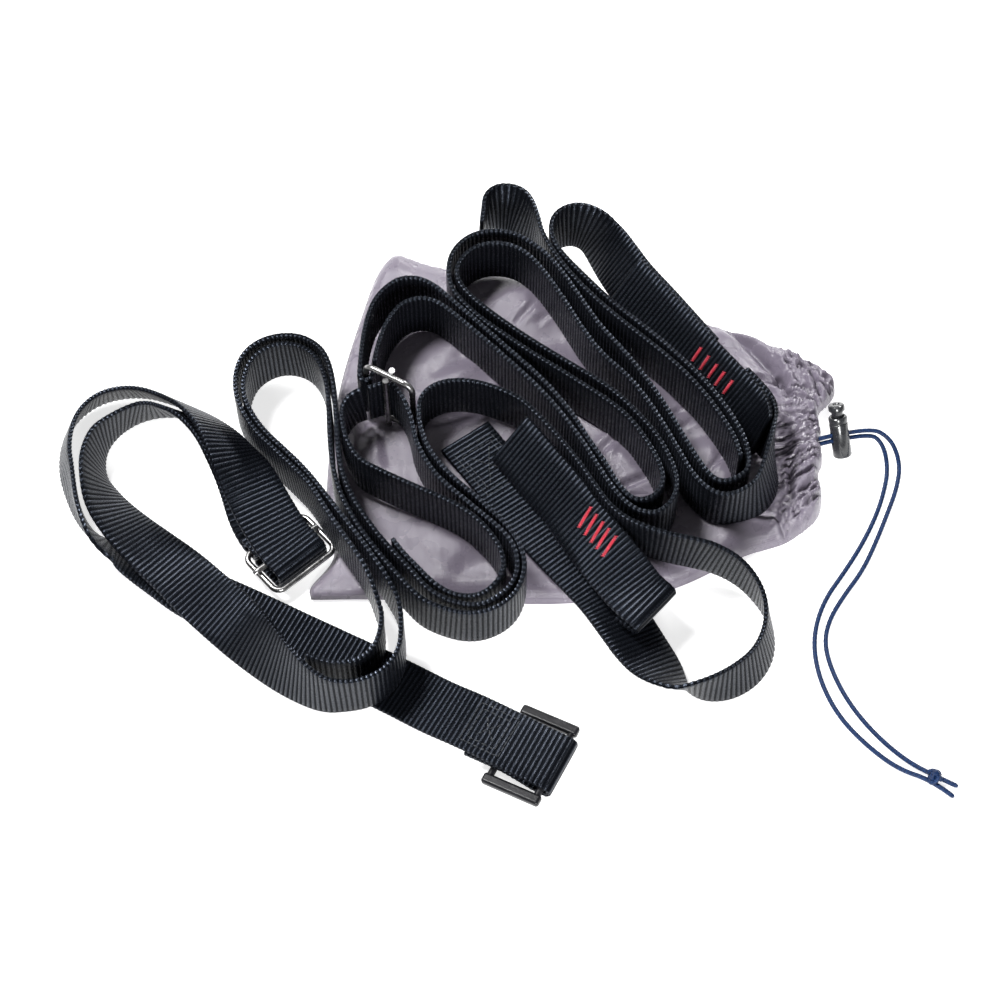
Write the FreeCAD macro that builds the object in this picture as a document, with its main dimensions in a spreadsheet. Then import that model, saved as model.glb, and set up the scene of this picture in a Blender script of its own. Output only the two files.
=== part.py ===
import FreeCAD, Part
import math
import os

from FreeCAD import Placement, Rotation, Vector

# A grey drawstring stuff sack lying flat, with black 25 mm webbing straps snaked over it.
# Millimetres, +Z up. The origin is the centre of the sack's underside, on the ground.

doc = FreeCAD.newDocument("webbing_strap_set")

# ---------------------------------------------------------------- driving dimensions
SIZES = {
    "webbing_width": 25.0, "webbing_thickness": 2.2,
    "wire": 2.6, "wire_corner": 4.0, "running_gap": 0.05,
    "buckle_long": 34.0, "buckle_short": 25.0, "upright_buckle_long": 35.0,
    "hook_sweep": 200.0,
    "front_buckle_wide": 38.0, "front_buckle_reach": 21.0, "front_bar": 3.0,
    "front_rail_wide": 4.6, "front_rail_tall": 3.4, "front_rail_round": 1.2,
    "cord": 2.0, "barrel": 8.0, "barrel_long": 18.5, "barrel_bore": 5.2, "barrel_floor": 2.0,
    "plunger": 5.0, "plunger_long": 14.7, "button": 7.0, "button_tall": 2.8,
    "channel_wide": 2.7, "channel_tall": 5.4, "press_travel": 2.0,
    "knot": 2.9,
    "middle_tack_long": 10.0, "middle_tack_pitch": 4.1,
    "rear_tack_long": 7.3, "rear_tack_pitch": 5.1, "tack_wide": 1.2, "tack_proud": 0.45,
    "thread": 0.7, "thread_proud": 0.3,
    "stitch_box_long": 24.0, "stitch_box_wide": 19.0,
}

sheet = doc.addObject("Spreadsheet::Sheet", "Sizes")
for row, (name, value) in enumerate(SIZES.items(), start=1):
    sheet.set("A%d" % row, name)
    sheet.set("B%d" % row, str(value))
    sheet.setAlias("B%d" % row, name)
doc.recompute()


def size(name):
    return float(getattr(sheet, name))


def bind(obj, **cells):
    """Ties each property of the object to an expression of spreadsheet cells."""
    for prop, text in cells.items():
        obj.setExpression(prop, text)
    return obj


def add(kind, label, place=None, **cells):
    obj = bind(doc.addObject(kind, label), **cells)
    obj.Label = label
    if place is not None:
        obj.Placement = place
    return obj


def at(x, y, z, axis=(0, 0, 1), angle=0.0):
    return Placement(Vector(x, y, z), Rotation(Vector(*axis), angle))


def fuse(label, shapes, place):
    obj = doc.addObject("Part::MultiFuse", label)
    obj.Shapes = shapes
    obj.Label = label
    obj.Placement = place
    return obj


def feature(label, shape):
    obj = doc.addObject("Part::Feature", label)
    obj.Shape = shape
    obj.Label = label
    return obj


NODES = []

# ---------------------------------------------------------------- webbing routes
# Each point is (x, y, z, lean). The lean is the angle of the strap's width above the
# horizontal, measured from the left of travel: 0 and 180 lie flat, 90 stands on edge.

FRONT_LOOP = [
    (-131, -49.5, 14.5, 2), (-137, -38.5, 19, 14), (-143, -29, 21.5, 32), (-150, -16.5, 21, 48),
    (-161, -4.5, 18, 60), (-172, 3.5, 12.8, 66), (-186.5, 8.8, 12.8, 66), (-201.5, 6.5, 12.8, 66),
    (-211.5, -2, 12.8, 67), (-215.5, -13.5, 12.8, 70), (-215.5, -26, 12.8, 73), (-212.5, -36.5, 12.7, 76),
    (-209, -47.5, 12.8, 83), (-204, -57.5, 13, 94), (-196, -65.5, 12, 122), (-187.5, -67, 8, 152),
    (-172, -73.5, 3.5, 174), (-157.5, -84, 1.6, 180), (-139, -92.5, 1.3, 180),
    (-116, -104.5, 1.3, 180), (-93, -116, 1.3, 180), (-72.5, -126.5, 1.3, 180), (-57.5, -136, 3.4, 180),
    (-44, -143.5, 6.6, 180),
]

MAIN_ROUTE = [
    (-134, -48.5, 8, 184), (-137.5, -39, 14.5, 194), (-143.5, -29.5, 18.3, 210),
    (-151.5, -18, 18.3, 227), (-162.5, -7, 16.3, 238), (-173, -1, 12.6, 246), (-183.5, -1, 12.6, 254),
    (-192, -6.5, 14, 258), (-198, -12, 14, 264), (-202, -18.5, 14, 275), (-203, -27, 14, 284),
    (-201, -36.5, 14.5, 297), (-195.5, -48.5, 13, 318), (-185.5, -59.5, 11.5, 332),
    (-175, -68.5, 9.5, 344), (-165, -76.5, 8, 353), (-155, -86, 6.5, 367), (-143, -97.5, 7, 383),
    (-130, -111.5, 9.5, 406), (-115.5, -127, 13.5, 429), (-103, -136, 15.2, 441),
    (-92.5, -137, 15.6, 448), (-84, -135, 15.6, 448), (-76.5, -130, 15.6, 449),
    (-71.5, -121.5, 15.6, 449), (-71, -111, 16.5, 449), (-72.5, -101, 19, 450), (-76.5, -93.5, 21, 450),
    (-82, -85, 22.6, 450), (-88.5, -75.5, 22.8, 450), (-96, -65, 22.8, 450), (-104.5, -52.5, 21.5, 450),
    (-112.5, -41, 20, 450), (-121.5, -31, 19, 450), (-129.5, -22.5, 18, 450), (-135.5, -13.5, 17, 450),
    (-140, -3.5, 16.5, 450), (-140.5, 6, 16, 450), (-138, 15, 16, 450), (-132, 21, 16, 450),
    (-124.5, 23.5, 16, 450), (-116.5, 21.5, 16.5, 450), (-110.5, 16, 17.5, 450), (-106.5, 7, 19.5, 450),
    (-104, -4.5, 21.5, 450), (-103, -18.5, 22.8, 450), (-102, -32.5, 22.8, 450),
    (-100, -45, 22.8, 450), (-96.5, -56, 22.8, 450), (-91, -67, 22.5, 450), (-84.5, -77, 22.5, 450),
    (-77.5, -86.5, 22.5, 450), (-70.5, -95, 22.5, 450), (-63.5, -103, 22.5, 450),
    (-54.5, -107, 22, 450), (-46.5, -109, 21.5, 450), (-38.5, -108.5, 21.5, 450), (-31, -105, 21.5, 450),
    (-25.5, -99.5, 21.5, 450), (-22.5, -92, 22, 450), (-22, -84.5, 22.5, 450), (-24.5, -77, 22.8, 450),
    (-29, -69.5, 22.8, 450), (-35.5, -62.5, 22.5, 450), (-42, -55.5, 22.5, 450), (-49, -49, 22.5, 450),
    (-55.5, -42, 22.5, 450), (-61, -34, 22.5, 450), (-64.5, -25, 22.5, 450), (-66, -16.5, 22.5, 450),
    (-65.5, -8.5, 22.5, 450), (-61.5, -3, 22.5, 450), (-55, 0, 22.5, 450), (-47.5, 0.5, 22.5, 450),
    (-39.5, -1, 22.5, 450), (-31.5, -4.5, 23, 450), (-23, -9, 23, 451), (-15, -18, 23, 451),
    (-7, -28, 22.5, 451), (0.5, -39, 22.5, 451), (7, -50.5, 22.5, 451), (13.5, -61, 22.5, 451),
    (21, -67.5, 23, 451), (29.5, -71.5, 23.5, 451), (38, -74, 23, 451), (46.5, -75.5, 22.5, 451),
    (55, -77, 20.5, 452), (63.5, -81, 19, 453), (70, -87, 17.5, 455), (75, -95, 16, 458),
    (77, -103.5, 15, 462), (76, -113.5, 14, 464), (70.5, -123, 13.5, 462), (61.5, -129.5, 13.2, 458),
    (52, -132.5, 13.2, 448), (44.5, -132.5, 13, 434), (39.5, -131.5, 12.5, 418),
    (35.5, -128, 11.8, 404), (31, -122, 11.2, 387), (25, -113.5, 10.8, 377), (18.5, -102, 10.6, 373),
    (11, -89, 10.8, 366), (1.5, -77.5, 11, 362), (-12, -61.5, 11, 361), (-26, -42, 11, 360),
    (-47, -13, 10.8, 360),
]

TAIL_ROUTE = [
    (-109, -126, 15, 257), (-103, -128, 15.5, 263),
    (-94.5, -128, 15.6, 269), (-88, -126.5, 15.6, 270), (-83, -122.5, 15.6, 270),
    (-80, -116, 15.8, 270), (-79, -107, 17, 270), (-81.5, -99, 19.5, 270), (-84.5, -91, 21.5, 270),
    (-89, -83, 22.8, 270), (-95, -74, 22.8, 270), (-102, -63, 22.5, 270), (-109.5, -49, 20.5, 270),
    (-118, -38.5, 18.5, 270), (-126.5, -29, 17, 270), (-134.5, -20, 16, 270), (-140.5, -10, 16, 270),
    (-144, 0.5, 15.5, 270), (-144, 11, 15.5, 270), (-140.5, 19.5, 16, 270), (-133.5, 25, 16.5, 270),
    (-125, 27, 17, 270), (-116, 25.5, 18, 270), (-108.5, 19.5, 19, 270), (-104, 10, 21.5, 270),
    (-101.5, -2.5, 22.8, 270), (-100, -18.5, 22.8, 270), (-99, -32.5, 22.8, 270), (-97, -44, 22.8, 270),
    (-93, -54.5, 22.5, 270), (-88, -63.5, 22.5, 270), (-81, -74, 22.5, 270), (-74, -82.5, 22.5, 270),
    (-67, -90.5, 22.5, 270), (-61, -98.5, 22.5, 270), (-53.5, -103, 22, 270), (-46, -105, 21.5, 270),
    (-39, -105, 21.5, 270), (-33, -101.5, 21.5, 270), (-28, -97, 21.5, 270), (-25, -90.5, 22, 270),
    (-25, -84, 22.5, 270), (-27, -77.5, 22.8, 270), (-31.5, -71.5, 22.8, 270), (-37.5, -65.5, 22.5, 270),
    (-44.5, -59, 22.5, 270), (-51.5, -52.5, 22.5, 270), (-58, -46, 22.5, 270), (-63, -38, 22.8, 270),
    (-67, -29, 23.4, 270), (-68.5, -20.5, 24.3, 270), (-70.8, -13, 24.7, 270), (-74.3, -6, 24.7, 270),
    (-78, -2, 24.7, 270), (-83, -3.2, 24.7, 270), (-87.3, -4.9, 24.7, 270),
]

TAIL_END_ROUTE = [
    (-89, -5.3, 24.7, 270), (-91.5, -6, 24.6, 270), (-95.5, -9, 23.6, 270), (-98, -14, 22.6, 270),
    (-97.5, -21.5, 22.5, 270), (-95, -30, 22.5, 270), (-90.5, -38, 22.5, 270), (-83, -42.5, 22.5, 270),
    (-72.5, -48, 22.5, 270), (-60.5, -54, 22.5, 270), (-50, -59.5, 22.8, 270), (-41.5, -66, 22.8, 270),
    (-35, -74, 22.8, 270), (-31, -81.5, 22.5, 270), (-30.5, -88.5, 22, 270), (-33, -95, 22, 270),
    (-38.5, -100, 21.5, 270), (-45, -101.5, 21.5, 270), (-52.5, -100, 22, 270), (-59.5, -95, 22.5, 270),
    (-65.5, -88, 22.5, 270), (-71, -82, 22.5, 270), (-75, -76, 22, 270),
]

REAR_OUTER_ROUTE = [
    (54.3, 19.8, 20, 132), (43.8, 34.8, 20, 132), (34.6, 47.6, 20, 133), (26.2, 58.7, 20, 133),
    (20, 70, 20, 131),
    (14.5, 81.5, 18.5, 124), (10, 87.5, 20.5, 111), (3, 90.5, 22, 104), (-4, 89, 22.5, 98),
    (-9, 84.5, 22.5, 92), (-10, 77, 22.5, 90), (-7, 68.5, 22.5, 90), (0, 59, 22.5, 90),
    (8.5, 49, 22.5, 90), (16.5, 39.5, 22.5, 90), (26.5, 29.5, 23, 89), (35.5, 20.5, 23, 88),
    (44, 11, 23, 88), (52.5, 1, 23, 88), (59.5, -9.5, 23, 88), (65, -19.5, 23, 88), (69, -28.5, 23, 89),
    (70.5, -37, 22.5, 89), (69.5, -43.5, 22.5, 89), (64.5, -47.5, 22.5, 90), (58.5, -49, 22.5, 90),
    (54, -46, 22.5, 90), (50, -39.5, 22.5, 90), (45, -29.5, 22.5, 90), (39.5, -17.5, 22.5, 90),
    (33.5, -5.5, 22.5, 90), (26.5, 6, 22.5, 90), (19, 17, 22.5, 90), (10.5, 28, 22.5, 90),
    (3, 41.5, 22.5, 90), (-4, 54, 22.5, 90), (-10, 63.5, 22.5, 90), (-17.5, 71, 22.5, 90),
    (-25.5, 76.5, 22.5, 90), (-34.5, 78, 22.5, 90), (-43, 76.5, 22.5, 90), (-49.5, 71.5, 22.5, 90),
    (-53.5, 64.5, 22.5, 90), (-54.5, 56.5, 22.5, 90), (-53, 48, 22.5, 90), (-48, 40, 22.5, 90),
    (-39.5, 31, 22.5, 90), (-29, 22.5, 22.5, 90), (-18.5, 14, 22.5, 90), (-8, 6.5, 22.5, 90),
    (2, -1, 22.5, 90), (12.5, -9, 22.5, 90), (21.5, -17.5, 22.5, 90), (28, -28, 22.5, 90),
    (32.5, -37, 22.5, 90), (35, -45.5, 22.5, 90), (34, -51.5, 22.5, 90), (30.5, -56, 22.5, 90),
    (25.5, -57.5, 22.5, 90), (21, -56.5, 22.5, 90), (15.5, -49, 22.5, 90), (11, -39, 22.5, 90),
    (5, -29.5, 22.5, 90), (-0.5, -18.5, 22.5, 90), (-7, -8.5, 22.5, 90), (-15.5, 2.5, 22.5, 90),
    (-25.5, 13, 22.5, 90), (-35, 23, 22.5, 90), (-44.5, 33, 22.5, 90), (-53, 41.5, 22.5, 90),
    (-60, 49, 22.5, 90), (-67.5, 53, 22.5, 90), (-75.5, 52.5, 22.5, 90), (-81.5, 47.5, 22.5, 90),
    (-86, 41, 22.5, 90), (-88.5, 32.5, 22.5, 90), (-89.8, 24, 22.8, 90), (-90.5, 15, 23.6, 90),
    (-90.8, 6, 24.6, 90), (-91, -1, 24.7, 90), (-85, -1, 24.7, 90), (-85.2, 5.2, 24.7, 90),
]

REAR_INNER_ROUTE = [
    (66.5, 6, 18.2, 46), (75, -4, 18, 48), (80, -14.5, 19.5, 66), (82, -25, 21.5, 93), (81.5, -34, 23, 106),
    (79, -43, 23.5, 108), (75.5, -49, 23, 102), (69, -53, 23, 94), (62, -55.5, 23, 90),
    (57, -55, 23, 90), (52, -52, 23, 90), (46.5, -44.5, 22.5, 90), (41.5, -33.5, 22.5, 90),
    (36, -21.5, 22.5, 90), (29.5, -9, 22.5, 90), (21.5, 3, 22.5, 90), (11, 13.5, 22.5, 90),
    (3, 26.5, 22.5, 90), (-4, 40.5, 22.5, 90), (-11, 53, 22.5, 90), (-17.5, 63, 22.5, 90),
    (-25, 69.5, 22.5, 90), (-33.5, 71.5, 22.5, 90), (-41.5, 70, 22.5, 90), (-47, 65.5, 22.5, 90),
    (-50.5, 59.5, 22.5, 90), (-50.5, 52, 22.5, 90), (-45.5, 44, 22.5, 90), (-36, 35, 22.5, 90),
    (-25.5, 26, 22.5, 90), (-14.5, 17.5, 22.5, 90), (-4, 10, 22.5, 90), (6.5, 2.5, 22.5, 90),
    (16.5, -5.5, 22.5, 90), (25, -15.5, 22.5, 90), (32.5, -25.5, 22.5, 90), (37.5, -36, 22.5, 90),
    (40.5, -46, 22.5, 90), (40, -54, 22.5, 90), (36.5, -60.5, 22.5, 91), (31, -64, 22.5, 91),
    (24.5, -63, 22.5, 91), (18.5, -58.5, 22.5, 91), (13, -50.5, 22.5, 91), (8, -41.5, 22.5, 91),
    (3, -31.5, 22.5, 91), (-3, -21.5, 22.5, 91), (-10, -11, 22.5, 91), (-18, -1, 22.5, 91),
    (-27.5, 9.5, 22.5, 90), (-37, 19.5, 22.5, 90), (-46.5, 29, 22.5, 90), (-55, 37.5, 22.5, 90),
    (-62, 42, 22.5, 90), (-69, 42, 22.5, 90), (-75, 38.5, 22.5, 90), (-79.5, 31.5, 22.5, 90),
    (-82.3, 23.5, 22.8, 90), (-84, 15, 23.6, 90), (-85.1, 6.8, 24.6, 90),
]

REAR_END_ROUTE = [
    (-40, 83, 21.5, 90), (-40.5, 91, 21.5, 96), (-38, 98, 22, 88), (-32, 100, 22, 70),
    (-25, 98.5, 22, 66), (-20.5, 93, 22, 72), (-16.5, 86, 22.5, 84), (-14, 78, 22.5, 90),
    (-10.5, 70, 22.5, 90), (-5, 60, 22.5, 90), (3, 49, 22.5, 90), (12, 38.5, 22.5, 90),
    (22, 28.5, 22.5, 90), (31.5, 19.5, 22.5, 90), (40.5, 10.5, 22.5, 90), (49, 0.5, 22.5, 90),
    (56.6, -11, 22.5, 90), (62, -20.9, 22.5, 90), (65.8, -29.5, 22.5, 90), (67.2, -37, 22.5, 90),
]

MIDDLE_BAND_ROUTE = [
    (-28, -21.5, 23.5, 40), (-21.5, -30, 23.5, 40), (-14, -41, 24, 41), (-6, -51.5, 24, 41),
    (0, -62, 24, 39), (6.5, -71.5, 24, 34), (13, -80.5, 23.8, 22), (19, -89, 23.2, 8),
]

REAR_BAND_ROUTE = [
    (22.5, 60, 22, 46), (31, 48.7, 22, 47), (43.3, 31.3, 21.6, 47), (55.4, 14.9, 21.6, 48),
    (64.4, 3.4, 21.2, 47), (71.5, -5.8, 20.6, 48), (76.5, -14.5, 20.9, 63), (78, -19.2, 21.3, 76),
]

# Folds: the strap turns over in a vertical plane. Each point is (distance along the heading, z).
LEFT_BUCKLE_CENTRE = (-119.0, -67.2)
LEFT_BUCKLE_HEADING = 132.0
LEFT_FOLD = [(9, 1.3), (4, 1.3), (-3, 1.3), (-8.3, 1.4), (-8.3, 11.7), (-3, 11.8), (5, 11.8)]
MAIN_END_FOLD = [(17, 9.1), (12.5, 9.1), (8, 9.1), (8, 3.8), (12.5, 3.8), (17.5, 4.0)]
FRONT_BAR_CENTRE = (-10.6, -161.6)
FRONT_HEADING = -27.8
FRONT_FOLD = [
    (-18, 7.5), (-8, 7.5), (3.6, 7.5), (3.6, 1.5), (-3, 1.4), (-8.5, 3.0), (-15, 4.8), (-21, 5.0),
    (-27, 4.4), (-34, 3.6),
]
MIDDLE_BAND_END = (19.4, -91.5)
MIDDLE_BAND_HEADING = -42.0
MIDDLE_BAND_FOLD = [(6, 23), (15, 22.8), (15, 17.4), (4, 17.8)]


def heading(angle):
    return Vector(math.cos(math.radians(angle)), math.sin(math.radians(angle)), 0)


def left_of(direction):
    return Vector(-direction.y, direction.x, 0)


def lean_controls(route):
    """Control points of a strap that runs along the ground, each with its width direction."""
    controls = []
    for i, (x, y, z, lean) in enumerate(route):
        before, after = route[max(0, i - 1)], route[min(len(route) - 1, i + 1)]
        travel = Vector(after[0] - before[0], after[1] - before[1], 0).normalize()
        angle = math.radians(lean)
        across = left_of(travel) * math.cos(angle) + Vector(0, 0, math.sin(angle))
        controls.append((Vector(x, y, z), across))
    return controls


def fold_controls(centre, angle, profile, across):
    """Control points of a strap folded over in the vertical plane along a heading."""
    along = heading(angle)
    base = Vector(centre[0], centre[1], 0)
    return [(base + along * reach + Vector(0, 0, z), across) for reach, z in profile]


def smooth(controls):
    """Stations on the quadratic B-spline of the control points: two for each corner."""
    def blend(a, b, share):
        return (a[0] * (1 - share) + b[0] * share, a[1] * (1 - share) + b[1] * share)

    middles = [blend(a, b, 0.5) for a, b in zip(controls, controls[1:])]
    stations = [controls[0], middles[0]]
    for corner, start, end in zip(controls[1:-1], middles, middles[1:]):
        top = blend(blend(start, corner, 0.5), blend(corner, end, 0.5), 0.5)
        stations += [top, end]
    stations.append(controls[-1])
    return stations


def webbing(label, controls):
    """A closed solid strap of rectangular section through the stations."""
    stations = smooth(controls)
    half_wide, half_thick = size("webbing_width") / 2, size("webbing_thickness") / 2
    corners = []
    for i, (point, across) in enumerate(stations):
        travel = stations[min(len(stations) - 1, i + 1)][0] - stations[max(0, i - 1)][0]
        travel.normalize()
        wide = (across - travel * across.dot(travel)).normalize()
        thick = travel.cross(wide)
        corners += [point + wide * (half_wide * a) + thick * (half_thick * b)
                    for a, b in ((1, 1), (-1, 1), (-1, -1), (1, -1))]
    faces = [(0, 2, 1), (0, 3, 2)]
    for i in range(len(stations) - 1):
        for side in range(4):
            a, b = 4 * i + side, 4 * i + (side + 1) % 4
            faces += [(a, b, b + 4), (a, b + 4, a + 4)]
    last = 4 * (len(stations) - 1)
    faces += [(last, last + 1, last + 2), (last, last + 2, last + 3)]
    length = sum((q[0] - p[0]).Length for p, q in zip(stations, stations[1:]))
    print("%s: length %.0f mm, section %.1f x %.1f" % (label, length, half_wide * 2, half_thick * 2))
    obj = feature(label, solid_of(corners, faces))
    NODES.append(obj)
    return obj, stations


def solid_of(points, triangles):
    shell = Part.Shape()
    shell.makeShapeFromMesh((points, triangles), 0.001)
    solid = Part.Solid(Part.Shell(shell.Faces)).removeSplitter()
    if solid.Volume < 0:
        solid.reverse()
    return solid


left_across = left_of(heading(LEFT_BUCKLE_HEADING))
front_across = left_of(heading(FRONT_HEADING)) * -1
band_across = left_of(heading(MIDDLE_BAND_HEADING))

front_strap, front_line = webbing(
    "front_strap",
    fold_controls(LEFT_BUCKLE_CENTRE, LEFT_BUCKLE_HEADING, LEFT_FOLD, left_across)
    + lean_controls(FRONT_LOOP)
    + fold_controls(FRONT_BAR_CENTRE, FRONT_HEADING, FRONT_FOLD, front_across))
main_strap, main_line = webbing(
    "main_strap",
    fold_controls(LEFT_BUCKLE_CENTRE, LEFT_BUCKLE_HEADING, MAIN_END_FOLD, left_across * -1)
    + lean_controls(MAIN_ROUTE))
webbing("tail_strap", lean_controls(TAIL_ROUTE))
webbing("tail_end_strap", lean_controls(TAIL_END_ROUTE))
webbing("rear_strap_outer", lean_controls(REAR_OUTER_ROUTE))
webbing("rear_strap_inner", lean_controls(REAR_INNER_ROUTE))
webbing("rear_strap_end", lean_controls(REAR_END_ROUTE))
middle_band, middle_line = webbing(
    "middle_band",
    lean_controls(MIDDLE_BAND_ROUTE)
    + fold_controls(MIDDLE_BAND_END, MIDDLE_BAND_HEADING, MIDDLE_BAND_FOLD, band_across))
rear_band, rear_line = webbing("rear_band", lean_controls(REAR_BAND_ROUTE))


# ---------------------------------------------------------------- stitching on the webbing
def surface_frame(line, distance, up=True):
    """Placement on the upper face of a strap, X along it and Y across it."""
    run = 0.0
    for (p, across), (q, _) in zip(line, line[1:]):
        step = (q - p).Length
        if run + step >= distance:
            travel = (q - p).normalize()
            wide = (across - travel * across.dot(travel)).normalize()
            thick = travel.cross(wide)
            if (thick.z < 0) == up:
                wide, thick = wide * -1, thick * -1
            base = p + travel * (distance - run) + thick * (size("webbing_thickness") / 2)
            return Placement(base, Rotation(travel, wide, thick, "ZXY"))
        run += step
    raise ValueError("the distance is past the strap's end")


def thread_bar(frame, x, y, long, wide, proud, turn=0.0):
    """One raised bar of thread, sunk slightly into the webbing under it."""
    sunk = 0.12
    bar = Part.makeBox(long, wide, proud + sunk, Vector(-long / 2, -wide / 2, -sunk))
    bar.Placement = frame.multiply(at(x, y, 0, angle=turn))
    return bar


def bar_tacks(label, line, row, middle, offset, turn):
    """Five bars side by side along a band; middle is how far along it the third one sits."""
    bars = []
    for i in range(-2, 3):
        frame = surface_frame(line, middle + i * size(row + "_pitch"))
        bars.append(thread_bar(frame, 0, offset, size(row + "_long"), size("tack_wide"),
                               size("tack_proud"), turn))
    NODES.append(feature(label, Part.makeCompound(bars)))


def stitch_box(label, line, centre):
    """A sewn rectangle with a cross in it."""
    long, wide, thread = size("stitch_box_long"), size("stitch_box_wide"), size("thread")
    frame = surface_frame(line, centre)
    bars = [thread_bar(frame, 0, side * wide / 2, long + thread, thread, size("thread_proud"))
            for side in (-1, 1)]
    bars += [thread_bar(frame, side * long / 2, 0, wide - thread * 1.4, thread, size("thread_proud"), 90)
             for side in (-1, 1)]
    NODES.append(feature(label, Part.makeCompound(bars)))


bar_tacks("middle_bar_tacks", middle_line, "middle_tack", middle=58.9, offset=3.7, turn=105)
bar_tacks("rear_bar_tacks", rear_line, "rear_tack", middle=59.9, offset=1.8, turn=94)
stitch_box("main_end_stitching", main_line, centre=sum(
    (q[0] - p[0]).Length for p, q in zip(main_line, main_line[1:])) - 18.0)


# ---------------------------------------------------------------- wire buckles
def rod(label, length, radius, place):
    return add("Part::Cylinder", label, place, Height=length, Radius=radius)


def wire_ring(label, long_cell, place):
    """A closed rectangle of round wire, long side along X."""
    corner = size("wire_corner")
    half_long, half_short = (size(long_cell) - size("wire")) / 2, (size("buckle_short") - size("wire")) / 2
    pieces = []
    for side in (-1, 1):
        pieces.append(rod(label + "_rail", "Sizes.%s - Sizes.wire - 2 * Sizes.wire_corner" % long_cell,
                          "Sizes.wire / 2",
                          at(corner - half_long, side * half_short, 0, (0, 1, 0), 90)))
        pieces.append(rod(label + "_end", "Sizes.buckle_short - Sizes.wire - 2 * Sizes.wire_corner",
                          "Sizes.wire / 2",
                          at(side * half_long, half_short - corner, 0, (1, 0, 0), 90)))
    for x, y, turn in ((1, 1, 0), (-1, 1, 90), (-1, -1, 180), (1, -1, 270)):
        pieces.append(add("Part::Torus", label + "_corner",
                          at(x * (half_long - corner), y * (half_short - corner), 0, angle=turn),
                          Radius1="Sizes.wire_corner", Radius2="Sizes.wire / 2"))
        pieces[-1].Angle3 = 90
    ring = fuse(label, pieces, place)
    NODES.append(ring)
    return ring


def sliding_bar(label, long_cell, place):
    """A straight bar along X over a ring's two end rails, curled round them at both ends."""
    half_long = (size(long_cell) - size("wire")) / 2
    lift = size("wire") + size("running_gap")
    pieces = [rod(label + "_bar", "Sizes.%s - Sizes.wire" % long_cell, "Sizes.wire / 2",
                  at(-half_long, 0, lift, (0, 1, 0), 90))]
    for side in (-1, 1):
        upright = Rotation(Vector(1, 0, 0), 90)
        turn = Rotation(Vector(0, 1, 0), -90 if side > 0 else 270 - size("hook_sweep"))
        hook = add("Part::Torus", label + "_hook",
                   Placement(Vector(side * half_long, 0, 0), turn.multiply(upright)),
                   Radius1="Sizes.wire + Sizes.running_gap", Radius2="Sizes.wire / 2",
                   Angle3="Sizes.hook_sweep")
        pieces.append(hook)
    bar = fuse(label, pieces, place)
    NODES.append(bar)
    return bar


def buckle_place(centre, z, rotation):
    return Placement(Vector(centre[0], centre[1], z), rotation)


flat_turn = Rotation(Vector(0, 0, 1), LEFT_BUCKLE_HEADING - 90)
LEFT_RING_Z = 6.45
wire_ring("left_buckle_frame", "buckle_long", buckle_place(LEFT_BUCKLE_CENTRE, LEFT_RING_Z, flat_turn))
left_bar_at = Vector(LEFT_BUCKLE_CENTRE[0], LEFT_BUCKLE_CENTRE[1], 0) + heading(LEFT_BUCKLE_HEADING) * 1.35
sliding_bar("left_buckle_bar", "buckle_long",
            buckle_place((left_bar_at.x, left_bar_at.y), LEFT_RING_Z, flat_turn))

# The middle buckle stands upright: its long side is vertical, its bar faces the front.
UPRIGHT_A = Vector(-88.0, 2.5, 0)
UPRIGHT_HEADING = -29.5
UPRIGHT_FOOT = 8.6
upright_along = heading(UPRIGHT_HEADING)
upright_face = left_of(upright_along) * -1
upright_turn = Rotation(Vector(0, 0, 1), upright_along * -1, upright_face, "ZXY")
upright_middle = UPRIGHT_A + upright_along * ((size("buckle_short") - size("wire")) / 2)
upright_z = UPRIGHT_FOOT + size("upright_buckle_long") / 2
upright_place = buckle_place((upright_middle.x, upright_middle.y), upright_z, upright_turn)
wire_ring("middle_buckle_frame", "upright_buckle_long", upright_place)
sliding_bar("middle_buckle_bar", "upright_buckle_long", upright_place)


# ---------------------------------------------------------------- black front buckle
def front_buckle():
    """Two side rails joined by two round bars; the strap is sewn round the far bar."""
    far_z, near_z = 4.3, 1.75
    reach = size("front_buckle_reach")
    slope = math.degrees(math.atan2(far_z - near_z, reach))
    across = (size("front_buckle_wide") - size("front_rail_wide")) / 2
    end = 2.3
    pieces = []
    for side in (-1, 1):
        rail = add("Part::Box", "front_buckle_rail",
                   at(-reach - end, side * across - size("front_rail_wide") / 2,
                      -size("front_rail_tall") / 2),
                   Length="Sizes.front_buckle_reach + %.1f" % (2 * end),
                   Width="Sizes.front_rail_wide", Height="Sizes.front_rail_tall")
        doc.recompute()
        rounded = doc.addObject("Part::Fillet", "front_buckle_rounded_rail")
        rounded.Base = rail
        rounded.Edges = [(i + 1, size("front_rail_round"), size("front_rail_round"))
                         for i in range(len(rail.Shape.Edges))]
        pieces.append(rounded)
    for x in (-reach, 0.0):
        pieces.append(rod("front_buckle_bar", "Sizes.front_buckle_wide - Sizes.front_rail_wide",
                          "Sizes.front_bar / 2", at(x, across, 0, (1, 0, 0), 90)))
    turn = Rotation(Vector(0, 0, 1), FRONT_HEADING).multiply(Rotation(Vector(0, 1, 0), -slope))
    buckle = fuse("front_buckle", pieces, buckle_place(FRONT_BAR_CENTRE, far_z, turn))
    NODES.append(buckle)


front_buckle()


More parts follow.
